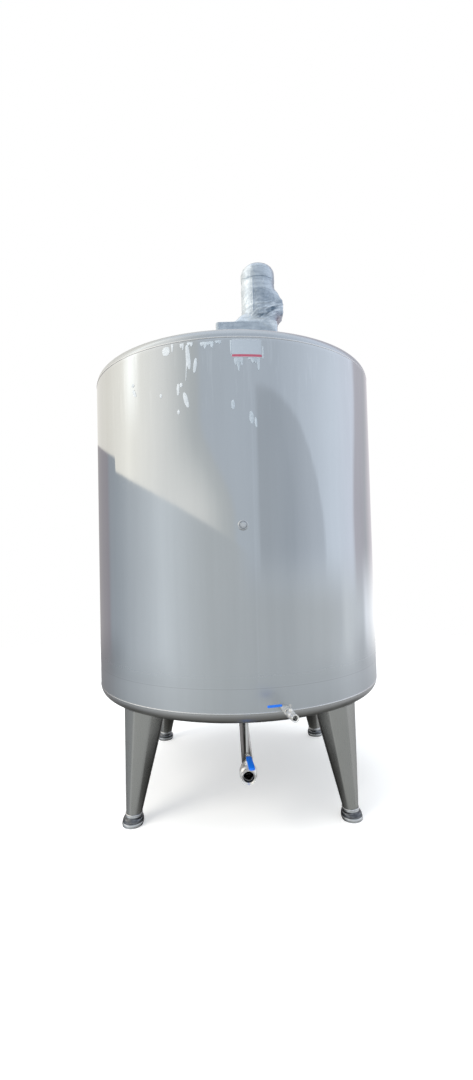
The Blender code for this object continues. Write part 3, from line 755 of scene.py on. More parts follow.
def make_valve_body(name):
    """The cast body with its bonnet, and what is seen in its waist and its mouth."""
    valve = VALVES[name]
    seat, forward, ball = valve_seat(name)
    place = standing(seat, forward)
    end, bore, mouth, edge = valve["length"], valve["bore"], valve["mouth"], valve["edge"]
    seat_end = end - valve["mouth_depth"]
    lip, lip_depth = valve["lip"]
    inner = [(lip, end), (mouth, end - lip_depth), (mouth, seat_end), (bore, seat_end), (bore, HAIR)]
    form = Form().skin(valve_rings(valve) + turned(inner, VALVE_STEPS), loop=True, place=place)
    low, high = valve["body"] * 0.82, valve["bonnet_top"]
    neck, foot = valve["bonnet"], valve["bonnet"] * 1.25
    bonnet = [(0, low), (foot, low), (foot, valve["body"] + edge)]
    bonnet += [(neck, valve["body"] + 2 * edge), (neck, high), (0, high)]
    form.lathe(bonnet, edge * 0.7, 64, place=Matrix.Translation(ball))
    form.piece(f"{name}_valve_casting", "cast", "cast_steel", [f"{name}_valve_body"])
    make_thread(name, place)
    make_valve_rings(name, place)


def make_valve_rings(name, place):
    """A dark ring at a valve's waist, partly a thread and partly painted shade in the gap, and the pale
    seat ring behind its mouth.
    """
    valve = VALVES[name]
    edge = valve["edge"]
    gap = valve["waist"][0] + 0.0006
    start, stop = valve["back_length"] + edge * 1.5, valve["body_start"] - edge * 2
    # painted shade: this dark ring over the waist stands for the shade in the gap
    dark = [(gap - 0.002, start), (gap, start), (gap, stop), (gap - 0.002, stop)]
    form = Form().lathe(dark, steps=64, loop=True, place=place)
    form.piece(f"{name}_back_thread_shade", "thread", "cast_steel")
    rim, low = valve["mouth"] - HAIR, valve["length"] - valve["mouth_depth"] + 0.0004
    ring = [(rim, low), (rim, low + 0.004), (valve["bore"] + 0.0002, low)]
    form = Form().lathe(ring, steps=64, loop=True, place=place)
    form.piece(f"{name}_seat_ring", "seat", "cast_steel")


def make_thread(name, place):
    """The thread in a valve's mouth, its near-black colour painted shade."""
    valve = VALVES[name]
    pitch = valve["thread"]
    root = valve["mouth"] - 0.0002
    start = valve["length"] - valve["mouth_depth"] + 0.005
    turns = round((valve["length"] - valve["lip"][1] - 0.001 - start) / pitch)
    stop = start + turns * pitch
    thread = thread_line(root, root - 0.0013, start, pitch, turns)
    profile = [(root + 0.0008, start), *thread, (root, stop), (root + 0.0008, stop)]
    form = Form().lathe(profile, steps=64, loop=True, place=place)
    form.piece(f"{name}_mouth_thread_shade", "thread", "cast_steel")


def make_ball(name):
    """The polished ball with its bore."""
    valve = VALVES[name]
    _, forward, ball = valve_seat(name)
    if name == "sample":
        forward = Vector((-forward.y, forward.x, 0))
    radius, bore = valve["ball"], valve["bore"]
    start = math.atan2(bore, math.sqrt(radius ** 2 - bore ** 2))
    ways = [start + (math.pi - 2 * start) * step / 24 for step in range(25)]
    profile = [(radius * math.sin(way), radius * math.cos(way)) for way in ways] + [(bore, 0.0)]
    form = Form().lathe(profile, steps=64, loop=True, place=standing(ball, forward))
    form.piece(f"{name}_polished_ball", "polished", "polished_steel", [f"{name}_ball"], f"{name}_handle")


def lever_frame(name):
    """At the stem's foot, with Y along the lever to its tip and Z up."""
    _, forward, ball = valve_seat(name)
    along = Matrix.Rotation(VALVES[name]["lever_turn"], 3, "Z") @ forward
    spin = Matrix((along.cross(UP), along, UP)).transposed().to_4x4()
    return Matrix.Translation(ball) @ spin


def make_lever(name):
    """Stem, lever plate, nut and dipped grip, all turning with the ball."""
    valve = VALVES[name]
    body = f"{name}_handle"
    place = lever_frame(name)
    base, radius, root = valve["lever_height"], valve["stem_radius"], valve["ball"] * 0.97
    top = base + valve["lever_thick"]
    stem = [(0, root), (radius, root), (radius, base - radius), (radius * 1.5, base - radius)]
    stem += [(radius * 1.5, base - HAIR), (0, base - HAIR)]
    form = Form().lathe(stem, 0.0006, place=place)
    form.piece(f"{name}_turned_stem", "polished", "polished_steel", [f"{name}_stem"], body)
    form = Form().skin(hex_nut(valve["nut"], top + HAIR, top + radius * 0.95), place=place)
    tip = [(0, top), (radius * 0.8, top), (radius * 0.8, top + radius * 1.35), (0, top + radius * 1.35)]
    form.lathe(tip, 0.0008, 36, place=place)
    form.piece(f"{name}_hex_nut", "nut", "polished_steel", [f"{name}_lever_nut"], body)
    make_lever_plate(name, place, body)
    make_grip(name, place, body)


def crank(valve, half, along):
    """How far the lever has risen at a distance from the stem."""
    share = (along - half) / (valve["lever_start"] - half)
    return valve["lever_rise"] * max(0.0, min(1.0, share))


def make_lever_plate(name, place, body):
    """A cranked lever with a round end at the stem, narrowing to its grip."""
    valve = VALVES[name]
    half, thick = valve["lever_width"] / 2, valve["lever_thick"]
    start, end, low = valve["lever_start"], valve["lever_length"] - 0.004, valve["lever_height"]
    eye, narrow = half * 1.3, half * 0.92
    angles = [math.pi * (1 + step / 16) for step in range(17)]
    outline = [(eye * math.cos(angle), eye * math.sin(angle)) for angle in angles]
    side = [(eye, half), (narrow, start), (narrow, start + 0.004), (narrow, end)]
    outline += side + [(-x, y) for x, y in side[::-1]]
    outline = rounded(outline, 0.004, closed=True)
    rings = []
    for height, inset in ((0, 0.0006), (0.0006, 0), (thick - 0.0006, 0), (thick, 0.0006)):
        narrowed = 1 - inset / half
        rings.append([(x * narrowed, y, low + height + crank(valve, half, y)) for x, y in outline])
    form = Form().skin(rings, place=place)
    form.piece(f"{name}_lever_plate", "lever", "cast_steel", [f"{name}_lever"], body)


def make_grip(name, place, body):
    """The dipped vinyl grip: a soft rounded sleeve, fuller towards its tip."""
    valve = VALVES[name]
    width, height = valve["grip"]
    start, end = valve["lever_start"], valve["lever_length"] + 0.003
    centre = valve["lever_height"] + valve["lever_rise"] + valve["lever_thick"] / 2
    angles = [math.tau * step / GRIP_STEPS for step in range(GRIP_STEPS)]
    soft = [(squared(math.cos(angle)), squared(math.sin(angle))) for angle in angles]
    rings = []
    for row in range(GRIP_STEPS + 1):
        share = row / GRIP_STEPS
        cap = min(1.0, share / 0.05, (1 - share) / 0.07)
        cap = math.sqrt(max(0.0, 1 - (1 - cap) ** 2))
        swell = 0.94 + 0.06 * math.sin(share * math.pi) + 0.05 * share
        wide, thick = width / 2 * swell * cap, height / 2 * swell * (0.35 + 0.65 * cap)
        along = start + (end - start) * share
        rings.append([(x * wide, along, centre + y * thick) for x, y in soft])
    form = Form().skin(rings, place=place)
    form.piece(f"{name}_vinyl_grip", "grip", "blue_grip", [f"{name}_grip"], body, 50)


def squared(value):
    """Pushes a sine or cosine outwards, so that a circle becomes a rounded square."""
    return math.copysign(abs(value) ** 0.55, value)


def make_valves():
    """Both ball valves, and the nipple of the small one."""
    for name in VALVES:
        make_valve_body(name)
        make_ball(name)
        make_lever(name)
    seat, forward, _ = valve_seat("sample")
    reach = (seat - level(seat.z)).length - SHELL_RADIUS
    root = seat - forward * reach
    outer, bore = VALVES["sample"]["back"] - 0.0045, VALVES["sample"]["bore"]
    profile = [(outer, -0.002), (outer, reach), (bore, reach), (bore, -0.002)]
    form = Form().lathe(profile, loop=True, place=standing(root, forward))
    form.piece("sample_pipe_nipple", "cast", "cast_steel", ["sample_nipple"])
    welds = ring_bead(Form(), root, forward, outer + 0.001, 0.008, 0.003)
    ring_bead(welds, seat, forward, outer + 0.0005, 0.005, 0.002)
    welds.piece("sample_welds", "weld", "cast_steel")


def make_sensor():
    """The welded socket in the middle of the wall and its plug."""
    plug = middle("sensor_plug")
    forward = Vector((plug.x - AXIS.x, plug.y - AXIS.y, 0)).normalized()
    root = level(plug.z) + forward * SHELL_RADIUS
    place = standing(root, forward)
    socket = [(0.024, -0.002), (0.024, 0.018), (0.0178, 0.018), (0.0178, 0.010), (0.0, 0.010)]
    form = Form().lathe([(0.0, -0.002)] + rounded(socket, 0.002), steps=64, place=place)
    form.piece("sensor_boss", "socket", "cast_steel", ["sensor_socket"])
    form = Form().lathe([(0, 0.0103), (0.0172, 0.0103), (0.0172, 0.0195), (0, 0.0195)], 0.001, place=place)
    form.skin(hex_nut(0.0112, 0.018, 0.0275), place=place)
    form.piece("sensor_hex_plug", "socket", "cast_steel", ["sensor_plug"])
    welds = ring_bead(Form(), root, forward, 0.0245, 0.007, 0.0028)
    welds.piece("sensor_weld", "weld", "cast_steel")


def make_plate():
    """The bare plate with its coloured stripe, bent to the wall."""
    low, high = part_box("label_plate")
    turn = math.atan2((low.x + high.x) / 2 - AXIS.x, SHELL_RADIUS)
    half = (high.x - low.x) / 2 / math.cos(turn) / SHELL_RADIUS
    inside, outside, edge = 0.0006, 0.0016, 0.0005
    rings = []
    for column in range(PLATE_COLUMNS + 1):
        across = turn + half * (2 * column / PLATE_COLUMNS - 1)
        end = edge if column in (0, PLATE_COLUMNS) else 0.0
        face = outside - end
        under, over = low.z + end, high.z - end
        section = [(under, inside), (under, face - edge), (under + edge, face)]
        section += [(over - edge, face), (over, face - edge), (over, inside)]
        rings.append([on_wall(across, height, off) for height, off in section])
    Form().skin(rings).piece("bare_plate", "plate", "plate_white", ["label_plate"])


RESIDUE = (
    # turn in degrees, top, bottom, half width, lean to the right on the way down, and the
    # depths of its teeth as shares of its height, or none for a drop
    (-21.8, 2.537, 2.490, 0.0225, 0.000, ()),
    (-19.5, 2.546, 2.499, 0.0060, 0.000, (1.0,)),
    (-16.1, 2.540, 2.504, 0.0110, 0.000, (0.7, 1.0)),
    (-14.5, 2.547, 2.341, 0.0030, -0.015, ()),
    (-14.0, 2.530, 2.400, 0.0120, 0.012, ()),
    (-13.3, 2.540, 2.516, 0.0160, 0.000, (0.7, 1.0)),
    (-11.7, 2.456, 2.380, 0.0095, -0.010, ()),
    (-16.6, 2.337, 2.315, 0.0080, 0.000, ()),
    (-17.7, 2.336, 2.275, 0.0075, -0.002, ()),
    (-15.0, 2.287, 2.207, 0.0120, 0.019, ()),
    (-17.7, 2.201, 2.178, 0.0074, 0.000, ()),
    (-24.1, 2.298, 2.275, 0.0068, 0.000, ()),
    (-36.2, 2.388, 2.369, 0.0100, 0.000, ()),
    (-35.5, 2.356, 2.314, 0.0110, 0.018, ()),
    (-7.7, 2.534, 2.496, 0.0350, 0.000, (0.6, 1.0, 0.5, 0.9)),
    (-4.0, 2.536, 2.516, 0.0160, 0.000, (0.8, 1.0)),
    (0.1, 2.535, 2.452, 0.0050, 0.000, (1.0,)),
    (0.3, 2.231, 2.184, 0.0095, 0.000, ()),
    (2.4, 2.456, 2.372, 0.0230, 0.000, (0.6, 1.0, 0.65)),
    (7.4, 2.456, 2.377, 0.0300, 0.000, (0.25, 0.5, 0.5, 1.0)),
    (10.4, 2.507, 2.438, 0.0042, 0.000, ()),
    (6.1, 2.174, 2.110, 0.0110, 0.004, ()),
    (7.5, 2.144, 2.092, 0.0068, 0.003, ()),
)


def scrap_line(scrap, number):
    """The outline of one scrap, as points across the wall and up it."""
    top, bottom, half, lean, teeth = scrap
    if teeth:
        width = 2 * half / len(teeth)
        line = [(half, 0.0), (-half, 0.0)]
        for tooth, depth in enumerate(teeth):
            left = tooth * width - half
            slant = 0.2 * noise.noise(Vector((left * 90, top * 40, 3)))
            line += [(left, 0.3), (left + 0.18 * width, 0.8 * depth)]
            line += [(left + (0.5 + slant) * width, depth), (left + 0.82 * width, 0.8 * depth)]
        line.append((half, 0.3))
    else:
        width = half
        line = []
        for step in range(24):
            angle = math.tau * step / 24
            across, up = math.cos(angle), math.sin(angle)
            ragged = 1 + 0.15 * noise.noise(Vector((across, up, number * 3.7)))
            across = math.copysign(abs(across) ** 0.75, across) * half * ragged
            line.append((across, 0.5 - 0.5 * up))
    points = [(across + lean * (down - 0.5), top + (bottom - top) * down) for across, down in line]
    return rounded(points, 0.3 * width, closed=True)


def make_residue():
    """Scraps of peeled protective film and glue left on the wall."""
    form = Form()
    for number, (turn, *scrap) in enumerate(RESIDUE):
        outline = scrap_line(scrap, number)
        centre = (scrap[0] + scrap[1]) / 2
        rings = []
        for off, inset in ((0.0004, 1.0), (0.0009, 0.99), (0.0011, 0.96)):
            ring = []
            for across, height in outline:
                angle = math.radians(turn) + across * inset / SHELL_RADIUS
                height = centre + (height - centre) * inset
                ring.append(on_wall(angle, height, off + wall_wave(angle, height)))
            rings.append(ring)
        form.skin(rings)
    form.piece("film_residue", "residue", "stretch_film", crease=60)


def bolt_ring(form, centre, radius, count, apothem, low, turn):
    """Hexagon bolts in a circle, each on its washer."""
    washer = [(0, 0), (apothem * 1.6, 0), (apothem * 1.6, 0.002), (0, 0.002)]
    for number in range(count):
        angle = turn + math.tau * number / count
        spot = centre + Vector((math.cos(angle), math.sin(angle), 0)) * radius
        place = Matrix.Translation((spot.x, spot.y, low)) @ Matrix.Rotation(angle, 4, "Z")
        form.lathe(washer, 0.0005, 24, place=place)
        form.skin(hex_nut(apothem, 0.002, 0.002 + apothem * 1.1), place=place)
    return form


def make_pedestal():
    """The pad, the flanged neck and its bolts."""
    pad_low, pad_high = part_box("lid_pad")
    neck_low, neck_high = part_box("drive_pedestal")
    place = Matrix.Translation(AXIS)
    radius = (pad_high.x - pad_low.x) / 2
    edge = SHELL_TOP + head_rise(radius)
    root = edge + radius * math.tan(CONE_SLOPE)
    pad = [(0, pad_high.z), (radius, pad_high.z), (radius, edge - 0.002), (0, root - 0.002)]
    form = Form().lathe(pad, 0.004, 128, place=place)
    form.piece("mounting_pad", "head", "shell_steel", ["lid_pad"])
    welds = ring_bead(Form(), level(edge), UP, radius, 0.012, 0.005, 256)
    welds.piece("pad_weld", "weld", "shell_steel")
    foot = (neck_high.x - neck_low.x) / 2
    low, high, flange, neck = neck_low.z, neck_high.z, 0.014, 0.066
    casting = [(0, low), (foot, low), (foot, low + flange), (neck + 0.012, low + flange)]
    casting += [(neck, low + 0.026), (neck, high - 0.026), (neck + 0.008, high - flange)]
    casting += [(0.090, high - flange), (0.090, high), (0, high)]
    form = Form().lathe(casting, 0.004, 96, place=place)
    form.piece("pedestal_casting", "paint", "drive_paint", ["drive_pedestal"])
    bolts = bolt_ring(Form(), AXIS, foot - 0.022, 8, 0.0095, low + flange, math.pi / 8)
    bolts.piece("pedestal_bolts", "nut", "cast_steel")


def plan_outline(circles, steps):
    """How far a band stretched round circles reaches in each direction from the motor's axis."""
    ways = np.linspace(0, math.tau, 4 * steps, endpoint=False)
    east, north = np.cos(ways), np.sin(ways)
    reach = np.array([x * east + y * north + r for x, y, r in circles])
    hull = np.array(circles)[reach.argmax(0)]
    x = hull[:, 0] + hull[:, 2] * east
    y = hull[:, 1] + hull[:, 2] * north
    angles = np.unwrap(np.arctan2(y, x))
    wanted = np.linspace(0, math.tau, steps, endpoint=False)
    wrapped = (wanted - angles[0]) % math.tau + angles[0]
    here = np.searchsorted(angles, wrapped, side="right") - 1
    there = (here + 1) % len(x)
    run_x, run_y = x[there] - x[here], y[there] - y[here]
    return (x[here] * run_y - y[here] * run_x) / (np.cos(wanted) * run_y - np.sin(wanted) * run_x)


def plan_corners(left, right, half_width, corner):
    """The corner circles of a rounded rectangle in plan, from the motor's axis."""
    return [
        (x - MOTOR.x, side * (half_width - corner), corner)
        for x in (left + corner, right - corner)
        for side in (-1, 1)
    ]


def plan_rings(outline, levels, shift=0.0):
    """A plan outline at several (height, inset) levels, shifted to the right."""
    ways = np.linspace(0, math.tau, len(outline), endpoint=False)
    rings = []
    for height, inset in levels:
        reach = outline - inset
        rings.append([(shift + r * math.cos(a), r * math.sin(a), height) for r, a in zip(reach, ways)])
    return rings


def case_plan():
    """The corner circles of the gear case."""
    return plan_corners(CASE_LOW.x, CASE_HIGH.x, (CASE_HIGH.y - CASE_LOW.y) / 2, CASE_CORNER)


def make_drive():
    """Gear case, adapter, finned motor, fan cowl and terminal box."""
    low, high = CASE_LOW.z, CASE_HIGH.z
    split = high - CASE_SPLIT
    levels = [(low, 0.006), (low + 0.006, 0.0), (split - 0.002, 0.0), (split - 0.001, 0.003)]
    levels += [(split + 0.001, 0.003), (split + 0.002, 0.0), (high - 0.006, 0.0), (high, 0.006)]
    place = Matrix.Translation((MOTOR.x, MOTOR.y, 0))
    form = Form().skin(plan_rings(plan_outline(case_plan(), 192), levels), place=place)
    form.piece("gear_case", "paint", "drive_paint", ["gear_housing"])
    make_motor(place)
    make_terminal_box(place)


def cowl_point(angle, high, rise):
    """A point of the domed cowl, from its crown at 0 to its side at a right angle."""
    return MOTOR_RADIUS * math.sin(angle) ** 0.8, high - COWL_DOME + rise * math.cos(angle) ** 0.8


def make_motor(place):
    """The round motor on its adapter, with cooling fins and a domed cowl."""
    low, high = (corner.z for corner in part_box("motor_adapter"))
    flange = MOTOR_RADIUS - 0.001
    adapter = [(0, low), (0.094, low), (0.094, low + 0.010), (0.086, low + 0.016), (0.086, high - 0.016)]
    adapter += [(flange - 0.006, high - 0.008), (flange, high), (0, high)]
    form = Form().lathe(adapter, 0.003, 96, place=place)
    form.piece("adapter_casting", "paint", "drive_paint", ["motor_adapter"])
    low, high = (corner.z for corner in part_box("motor_body"))
    grooves = [0.0 if step % FIN_STEPS in FIN_GAP else FIN_DEPTH for step in range(FINS * FIN_STEPS)]
    levels = [(low, 0.012), (low + 0.006, 0.0), (high - 0.004, 0.0), (high, 0.009)]
    form = Form().skin(plan_rings(FIN_TIP - np.array(grooves), levels), place=place)
    form.piece("finned_motor", "paint", "drive_paint", ["motor_body"])
    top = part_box("fan_cowl")[1].z
    cowl = [(0, top), (0.040, top)]
    cowl += [cowl_point(math.pi / 2 * step / 9, top, COWL_DOME) for step in range(1, 10)]
    cowl += [(MOTOR_RADIUS, high + 0.002), (MOTOR_RADIUS - 0.003, high), (0, high)]
    form = Form().lathe(cowl, steps=128, place=place)
    form.piece("cowl_dome", "paint", "drive_paint", ["fan_cowl"])


def make_terminal_box(place):
    """The terminal box with its lid, on the motor's right side."""
    low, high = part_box("terminal_box")
    left = MOTOR.x + 0.085
    centre = (left + high.x) / 2 - MOTOR.x
    plan = plan_corners(left, high.x, (high.y - low.y) / 2, BOX_CORNER)
    outline = plan_outline([(x - centre, y, r) for x, y, r in plan], 96)
    levels = [(low.z, 0.010), (low.z + 0.004, 0.003), (low.z + 0.010, 0.0)]
    levels += [(high.z - 0.012, 0.0), (high.z - 0.004, 0.003), (high.z, 0.012)]
    form = Form().skin(plan_rings(outline, levels, centre), place=place)
    form.piece("terminal_housing", "paint", "drive_paint", ["terminal_box"])


# Creases of the film: height in metres, half width, and points as (turn in degrees round the
# motor from the front to the right, height over the floor). A groove has a height below zero.
FILM_CREASES = (
    (0.0030, 0.0040, ((-20.5, 3.10), (-20.0, 3.330))),
    (0.0016, 0.0030, ((-18.0, 3.165), (-17.6, 3.200), (-7.0, 3.240), (12.7, 3.263), (58.0, 3.266))),
    (-0.0014, 0.0030, ((-11.0, 3.267), (13.0, 3.281), (34.0, 3.284))),
    (0.0040, 0.0060, ((-24.0, 3.075), (-4.0, 3.112), (38.0, 3.135), (78.0, 3.178))),
    (0.0036, 0.0050, ((-34.0, 3.052), (-2.0, 3.080), (40.0, 3.098), (80.0, 3.128))),
    (-0.0050, 0.0070, ((2.0, 3.067), (24.0, 3.098), (46.0, 3.112))),
    (-0.0036, 0.0060, ((46.0, 3.148), (80.0, 3.176))),
    (0.0034, 0.0050, ((-8.0, 3.150), (36.0, 3.165), (74.0, 3.205))),
    (0.0024, 0.0050, ((-68.0, 3.044), (-40.0, 3.050), (-8.0, 3.060), (30.0, 3.052), (52.0, 3.000))),
    (0.0026, 0.0050, ((14.0, 3.018), (34.0, 2.982), (46.0, 2.930))),
    (0.0016, 0.0040, ((2.0, 2.994), (22.0, 2.960))),
    (0.0016, 0.0030, ((-60.0, 3.200), (-48.0, 3.236), (-30.0, 3.250))),
    (0.0016, 0.0030, ((-80.0, 3.290), (-58.0, 3.270), (-44.0, 3.286), (-24.0, 3.262))),
    (0.0018, 0.0030, ((-70.0, 3.130), (-52.0, 3.160), (-40.0, 3.205), (-26.0, 3.222))),
    (0.0016, 0.0035, ((-62.0, 3.100), (-46.0, 3.128), (-22.0, 3.150))),
    (0.0028, 0.0040, ((120.0, 3.060), (150.0, 3.140), (180.0, 3.170), (215.0, 3.260))),
    (0.0026, 0.0050, ((110.0, 3.120), (140.0, 3.190), (175.0, 3.210), (200.0, 3.200))),
    (0.0024, 0.0040, ((160.0, 3.050), (200.0, 3.090), (240.0, 3.180), (262.0, 3.300))),
    (-0.0030, 0.0060, ((128.0, 3.110), (150.0, 3.120), (166.0, 3.150))),
    (0.0024, 0.0040, ((228.0, 3.060), (244.0, 3.110), (262.0, 3.130))),
)


def film_sections():
    """(height, circles) pairs the film is stretched round, from its lower edge to the crown."""
    case, motor = case_plan(), [(0, 0, MOTOR_RADIUS)]
    body = [(0, 0, MOTOR_RADIUS - 0.0025)]
    box_low, box_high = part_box("terminal_box")
    half = (box_high.y - box_low.y) / 2
    top = CASE_HIGH.z
    seam, cowl_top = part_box("fan_cowl")[0].z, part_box("fan_cowl")[1].z
    sections = [(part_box("film_wrap")[0].z, case), (top + 0.001, case)]
    for rise, left, right, side, corner, waist in (
        (0.004, -0.035, 0.317, 0.100, 0.040, 0.096),
        (0.010, 0.010, 0.318, 0.098, 0.045, 0.097),
        (0.022, 0.030, 0.320, 0.096, 0.045, 0.100),
        (0.042, 0.050, 0.328, 0.090, 0.040, 0.107),
        (0.062, 0.068, 0.345, 0.080, 0.028, MOTOR_RADIUS),
    ):
        sections.append((top + rise, plan_corners(left, right, side, corner) + [(0, 0, waist)]))
    for height, reach in (
        (top + 0.076, -0.002),
        (box_high.z - 0.040, 0.001),
        (box_high.z - 0.004, -0.003),
        (box_high.z + 0.014, -0.018),
        (box_high.z + 0.050, -0.034),
    ):
        box = plan_corners(MOTOR.x, box_high.x + reach, half, BOX_CORNER)
        sections.append((height, box + motor))
    sections += [(box_high.z + 0.085, motor), (seam - 0.040, motor), (seam - 0.016, body)]
    sections += [(seam - 0.008, body), (seam, motor), (cowl_top - COWL_DOME, motor)]
    for step in range(1, 13):
        radius, height = cowl_point(math.pi / 2 * (1 - step / 13), cowl_top, 0.0775)
        sections.append((height, [(0, 0, radius)]))
    return sections


def film_reach():
    """The film's levels from its lower edge to its crown, and its reach all round at each."""
    sections = film_sections()
    heights = np.array([height for height, _ in sections])
    table = np.array([plan_outline(circles, FILM_COLUMNS) for _, circles in sections])
    size = table.mean(1)
    steps = np.hypot(np.diff(heights, prepend=heights[0]), np.diff(size, prepend=size[0]))
    lengths = np.cumsum(steps)
    wanted = np.linspace(0, lengths[-1], FILM_ROWS)
    edge_row = np.abs(wanted - lengths[1]).argmin()
    wanted[edge_row] = lengths[1]
    reach = np.array([np.interp(wanted, lengths, table[:, i]) for i in range(FILM_COLUMNS)]).T
    for _ in range(2):
        soft = (reach[:-2] + 2 * reach[1:-1] + reach[2:]) / 4
        reach[edge_row + 2:-1] = soft[edge_row + 1:]
    return np.interp(wanted, lengths, heights), reach


def make_film():
    """Stretch film wound round the drive, drawn tight and full of creases."""
    levels, reach = film_reach()
    lift = crease_lift(levels)
    rings = []
    for row in range(FILM_ROWS):
        ring = []
        for column in range(FILM_COLUMNS):
            angle = math.tau * column / FILM_COLUMNS
            off = FILM_OFF + max(-0.0018, lift[row, column] + crinkle(angle, levels[row]))
            ring.append(film_point(angle, levels[row], reach[row, column] + off, row))
        rings.append(ring)
    form = Form().skin(rings)
    del form.faces[-2]  # the cap over the open lower edge
    film = form.piece("film_skin", "film", "stretch_film", ["film_wrap"], crease=80)
    area = sum(face.area for face in film.data.polygons)
    solid = film.modifiers.new("film", "SOLIDIFY")
    solid.thickness = FILM_THICK
    solid.offset = -1
    girth = area / (levels[-1] - levels[0])
    levels[-1] - levels[0]


def crease_lift(levels):
    """How far every point of the film stands up along its creases."""
    turns = np.linspace(0, math.tau, FILM_COLUMNS, endpoint=False) + math.pi / 2
    heights = np.asarray(levels)[:, None]
    lift = np.zeros((FILM_ROWS, FILM_COLUMNS))
    for rise, half, points in FILM_CREASES:
        for (turn_a, high_a), (turn_b, high_b) in zip(points, points[1:]):
            start = math.radians(turn_a)
            along = (math.radians(turn_b) - start) * MOTOR_RADIUS
            climb = high_b - high_a
            across = ((turns - start + math.pi) % math.tau - math.pi)[None, :] * MOTOR_RADIUS
            up = heights - high_a
            share = np.clip((across * along + up * climb) / (along ** 2 + climb ** 2), 0, 1)
            off = np.hypot(across - share * along, up - share * climb)
            ridge = rise * np.exp(-((off / half) ** 2))
            lift = np.where(np.abs(ridge) > np.abs(lift), ridge, lift)
    aside = np.abs((turns - math.radians(92) + math.pi) % math.tau - math.pi)
    return lift * np.clip(aside / math.radians(26), 0.25, 1.0)


def crinkle(angle, height):
    """The film's small unevenness, finer on the motor than on the flat case."""
    x, y = math.cos(angle), math.sin(angle)
    slack = min(1.0, max(0.15, (height - CASE_HIGH.z) / 0.02))
    broad = noise.noise(Vector((x * 1.7, y * 1.7, height * 7)))
    folds = 1 - abs(noise.noise(Vector((x * 3, y * 3, height * 22 + angle * 1.6))))
    fine = noise.noise(Vector((x * 9, y * 9, height * 55 - angle * 3)))
    return slack * (0.0008 * broad + 0.0012 * folds ** 6 + 0.0004 * fine)


def film_point(angle, height, radius, row):
    """A point of the film, its lower edge a little ragged."""
    x, y = math.cos(angle), math.sin(angle)
    ragged = 0.004 * noise.noise(Vector((x * 4, y * 4, 9))) if row == 0 else 0
    return Vector((MOTOR.x + x * radius, MOTOR.y + y * radius, height + ragged))


def sheet_steel(name, base, grain_up=False):
    """Mill-finished sheet with its colour, fine grain, faint streaks and soft smudges."""
    steel = Finish(name, Metallic=1.0)
    place = steel.place()
    along = steel.stretch(place, 1, 1, 0.02) if grain_up else steel.stretch(place, 0.04, 0.04, 1)
    grain = steel.noise(along, 900, 4)
    streak = steel.noise(steel.stretch(place, 1, 1, 0.06), 14, 3)
    cloud = steel.noise(place, 2.3, 4)
    smudge = steel.noise(place, 9, 5, 0.65).ramp(0.5, 0.75)
    tone = (streak - 0.5) * 0.5 + (cloud - 0.5) * 0.35 + (grain - 0.5) * 0.14
    dark, light = (tuple(c * share for c in base) for share in (0.90, 1.08))
    return steel, steel.mix((tone + 0.5).limit(), dark, light), grain, streak, smudge


def shell_finish():
    """The wall's finish, with polished bands along its seams whose lighter colour is partly a painted
    highlight.
    """
    steel, colour, grain, streak, smudge = sheet_steel("shell_steel", (0.52, 0.545, 0.565), True)
    place = steel.place()
    x, y, z = steel.parts(place)
    long_seam = steel.turn(x - AXIS.x, y - AXIS.y).near(LONG_SEAM_TURN, 0.010)
    strake = z.near(STRAKE_SEAM, 0.010)
    rims = z.near(SHELL_TOP, 0.024) + z.near(SHELL_BOTTOM, 0.012)
    bands = (long_seam * 0.18 + strake * 0.25 + rims * 0.6).limit()
    line = z.near(STRAKE_SEAM, 0.0035)
    drips = steel.noise(steel.stretch(place, 1, 1, 0.09), 38, 3).ramp(0.56, 0.72)
    drips = drips * z.ramp(SHELL_TOP - 0.55, SHELL_TOP - 0.02) * 0.5
    # partly painted highlight: the lighter colour along the seams and rims stands both for polish and for
    # highlights
    colour = steel.mix(bands * 0.45, colour, (0.68, 0.71, 0.75))
    colour = steel.mix(drips * 0.40, colour, (0.70, 0.73, 0.76))
    colour = steel.mix(line * 0.45, colour, (0.34, 0.35, 0.36))
    dull = z.ramp(0.72, 1.08, 0.36, 0.035)
    rough = dull + smudge * 0.03 + bands * 0.08 + drips * 0.12 + grain * 0.03
    return steel.coat(colour, rough, streak * 0.8 + grain * 0.02, 0.0012, 0.35)


def end_finish(name, base, dull, smudged):
    """A cone end's finish: the same sheet with turned grain."""
    steel, colour, grain, streak, smudge = sheet_steel(name, base)
    rough = dull + smudge * smudged + grain * 0.06
    return steel.coat(colour, rough, grain * 0.1 + streak, 0.0006, 0.3)


def leg_finish():
    """Brushed sheet of the legs, polished along the weld at their top, its dark base colour painted shade.
    """
    steel = Finish("leg_steel", Metallic=1.0)
    place = steel.place()
    brush = steel.noise(steel.stretch(place, 1, 1, 0.03), 520, 4)
    cloud = steel.noise(place, 11, 4)
    strip = steel.parts(place)[2].ramp(LEG_TOP - 0.042, LEG_TOP - 0.036)
    # painted shade: the legs' base colour is kept dark to stand for the shadowed ground they mirror
    colour = steel.mix((brush * 0.6 + cloud * 0.4).limit(), (0.31, 0.31, 0.295), (0.42, 0.415, 0.395))
    colour = steel.mix(strip * 0.8, colour, (0.66, 0.66, 0.65))
    return steel.coat(colour, 0.20 + brush * 0.12 + cloud * 0.05 - strip * 0.08, brush, 0.00006, 0.6)


def weld_finish(name, scale, depth):
    """Brushed weld metal with ripples of a given fineness and depth, and a trace of heat tint."""
    steel = Finish(name, Metallic=1.0)
    place = steel.place()
    ripple = steel.noise(place, scale, 3)
    tint = steel.noise(place, 30, 2).ramp(0.55, 0.85)
    colour = steel.mix(ripple, (0.58, 0.58, 0.58), (0.78, 0.79, 0.80))
    colour = steel.mix(tint * 0.15, colour, (0.56, 0.52, 0.46))
    return steel.coat(colour, 0.20 + ripple * 0.14, ripple, depth, 0.6)


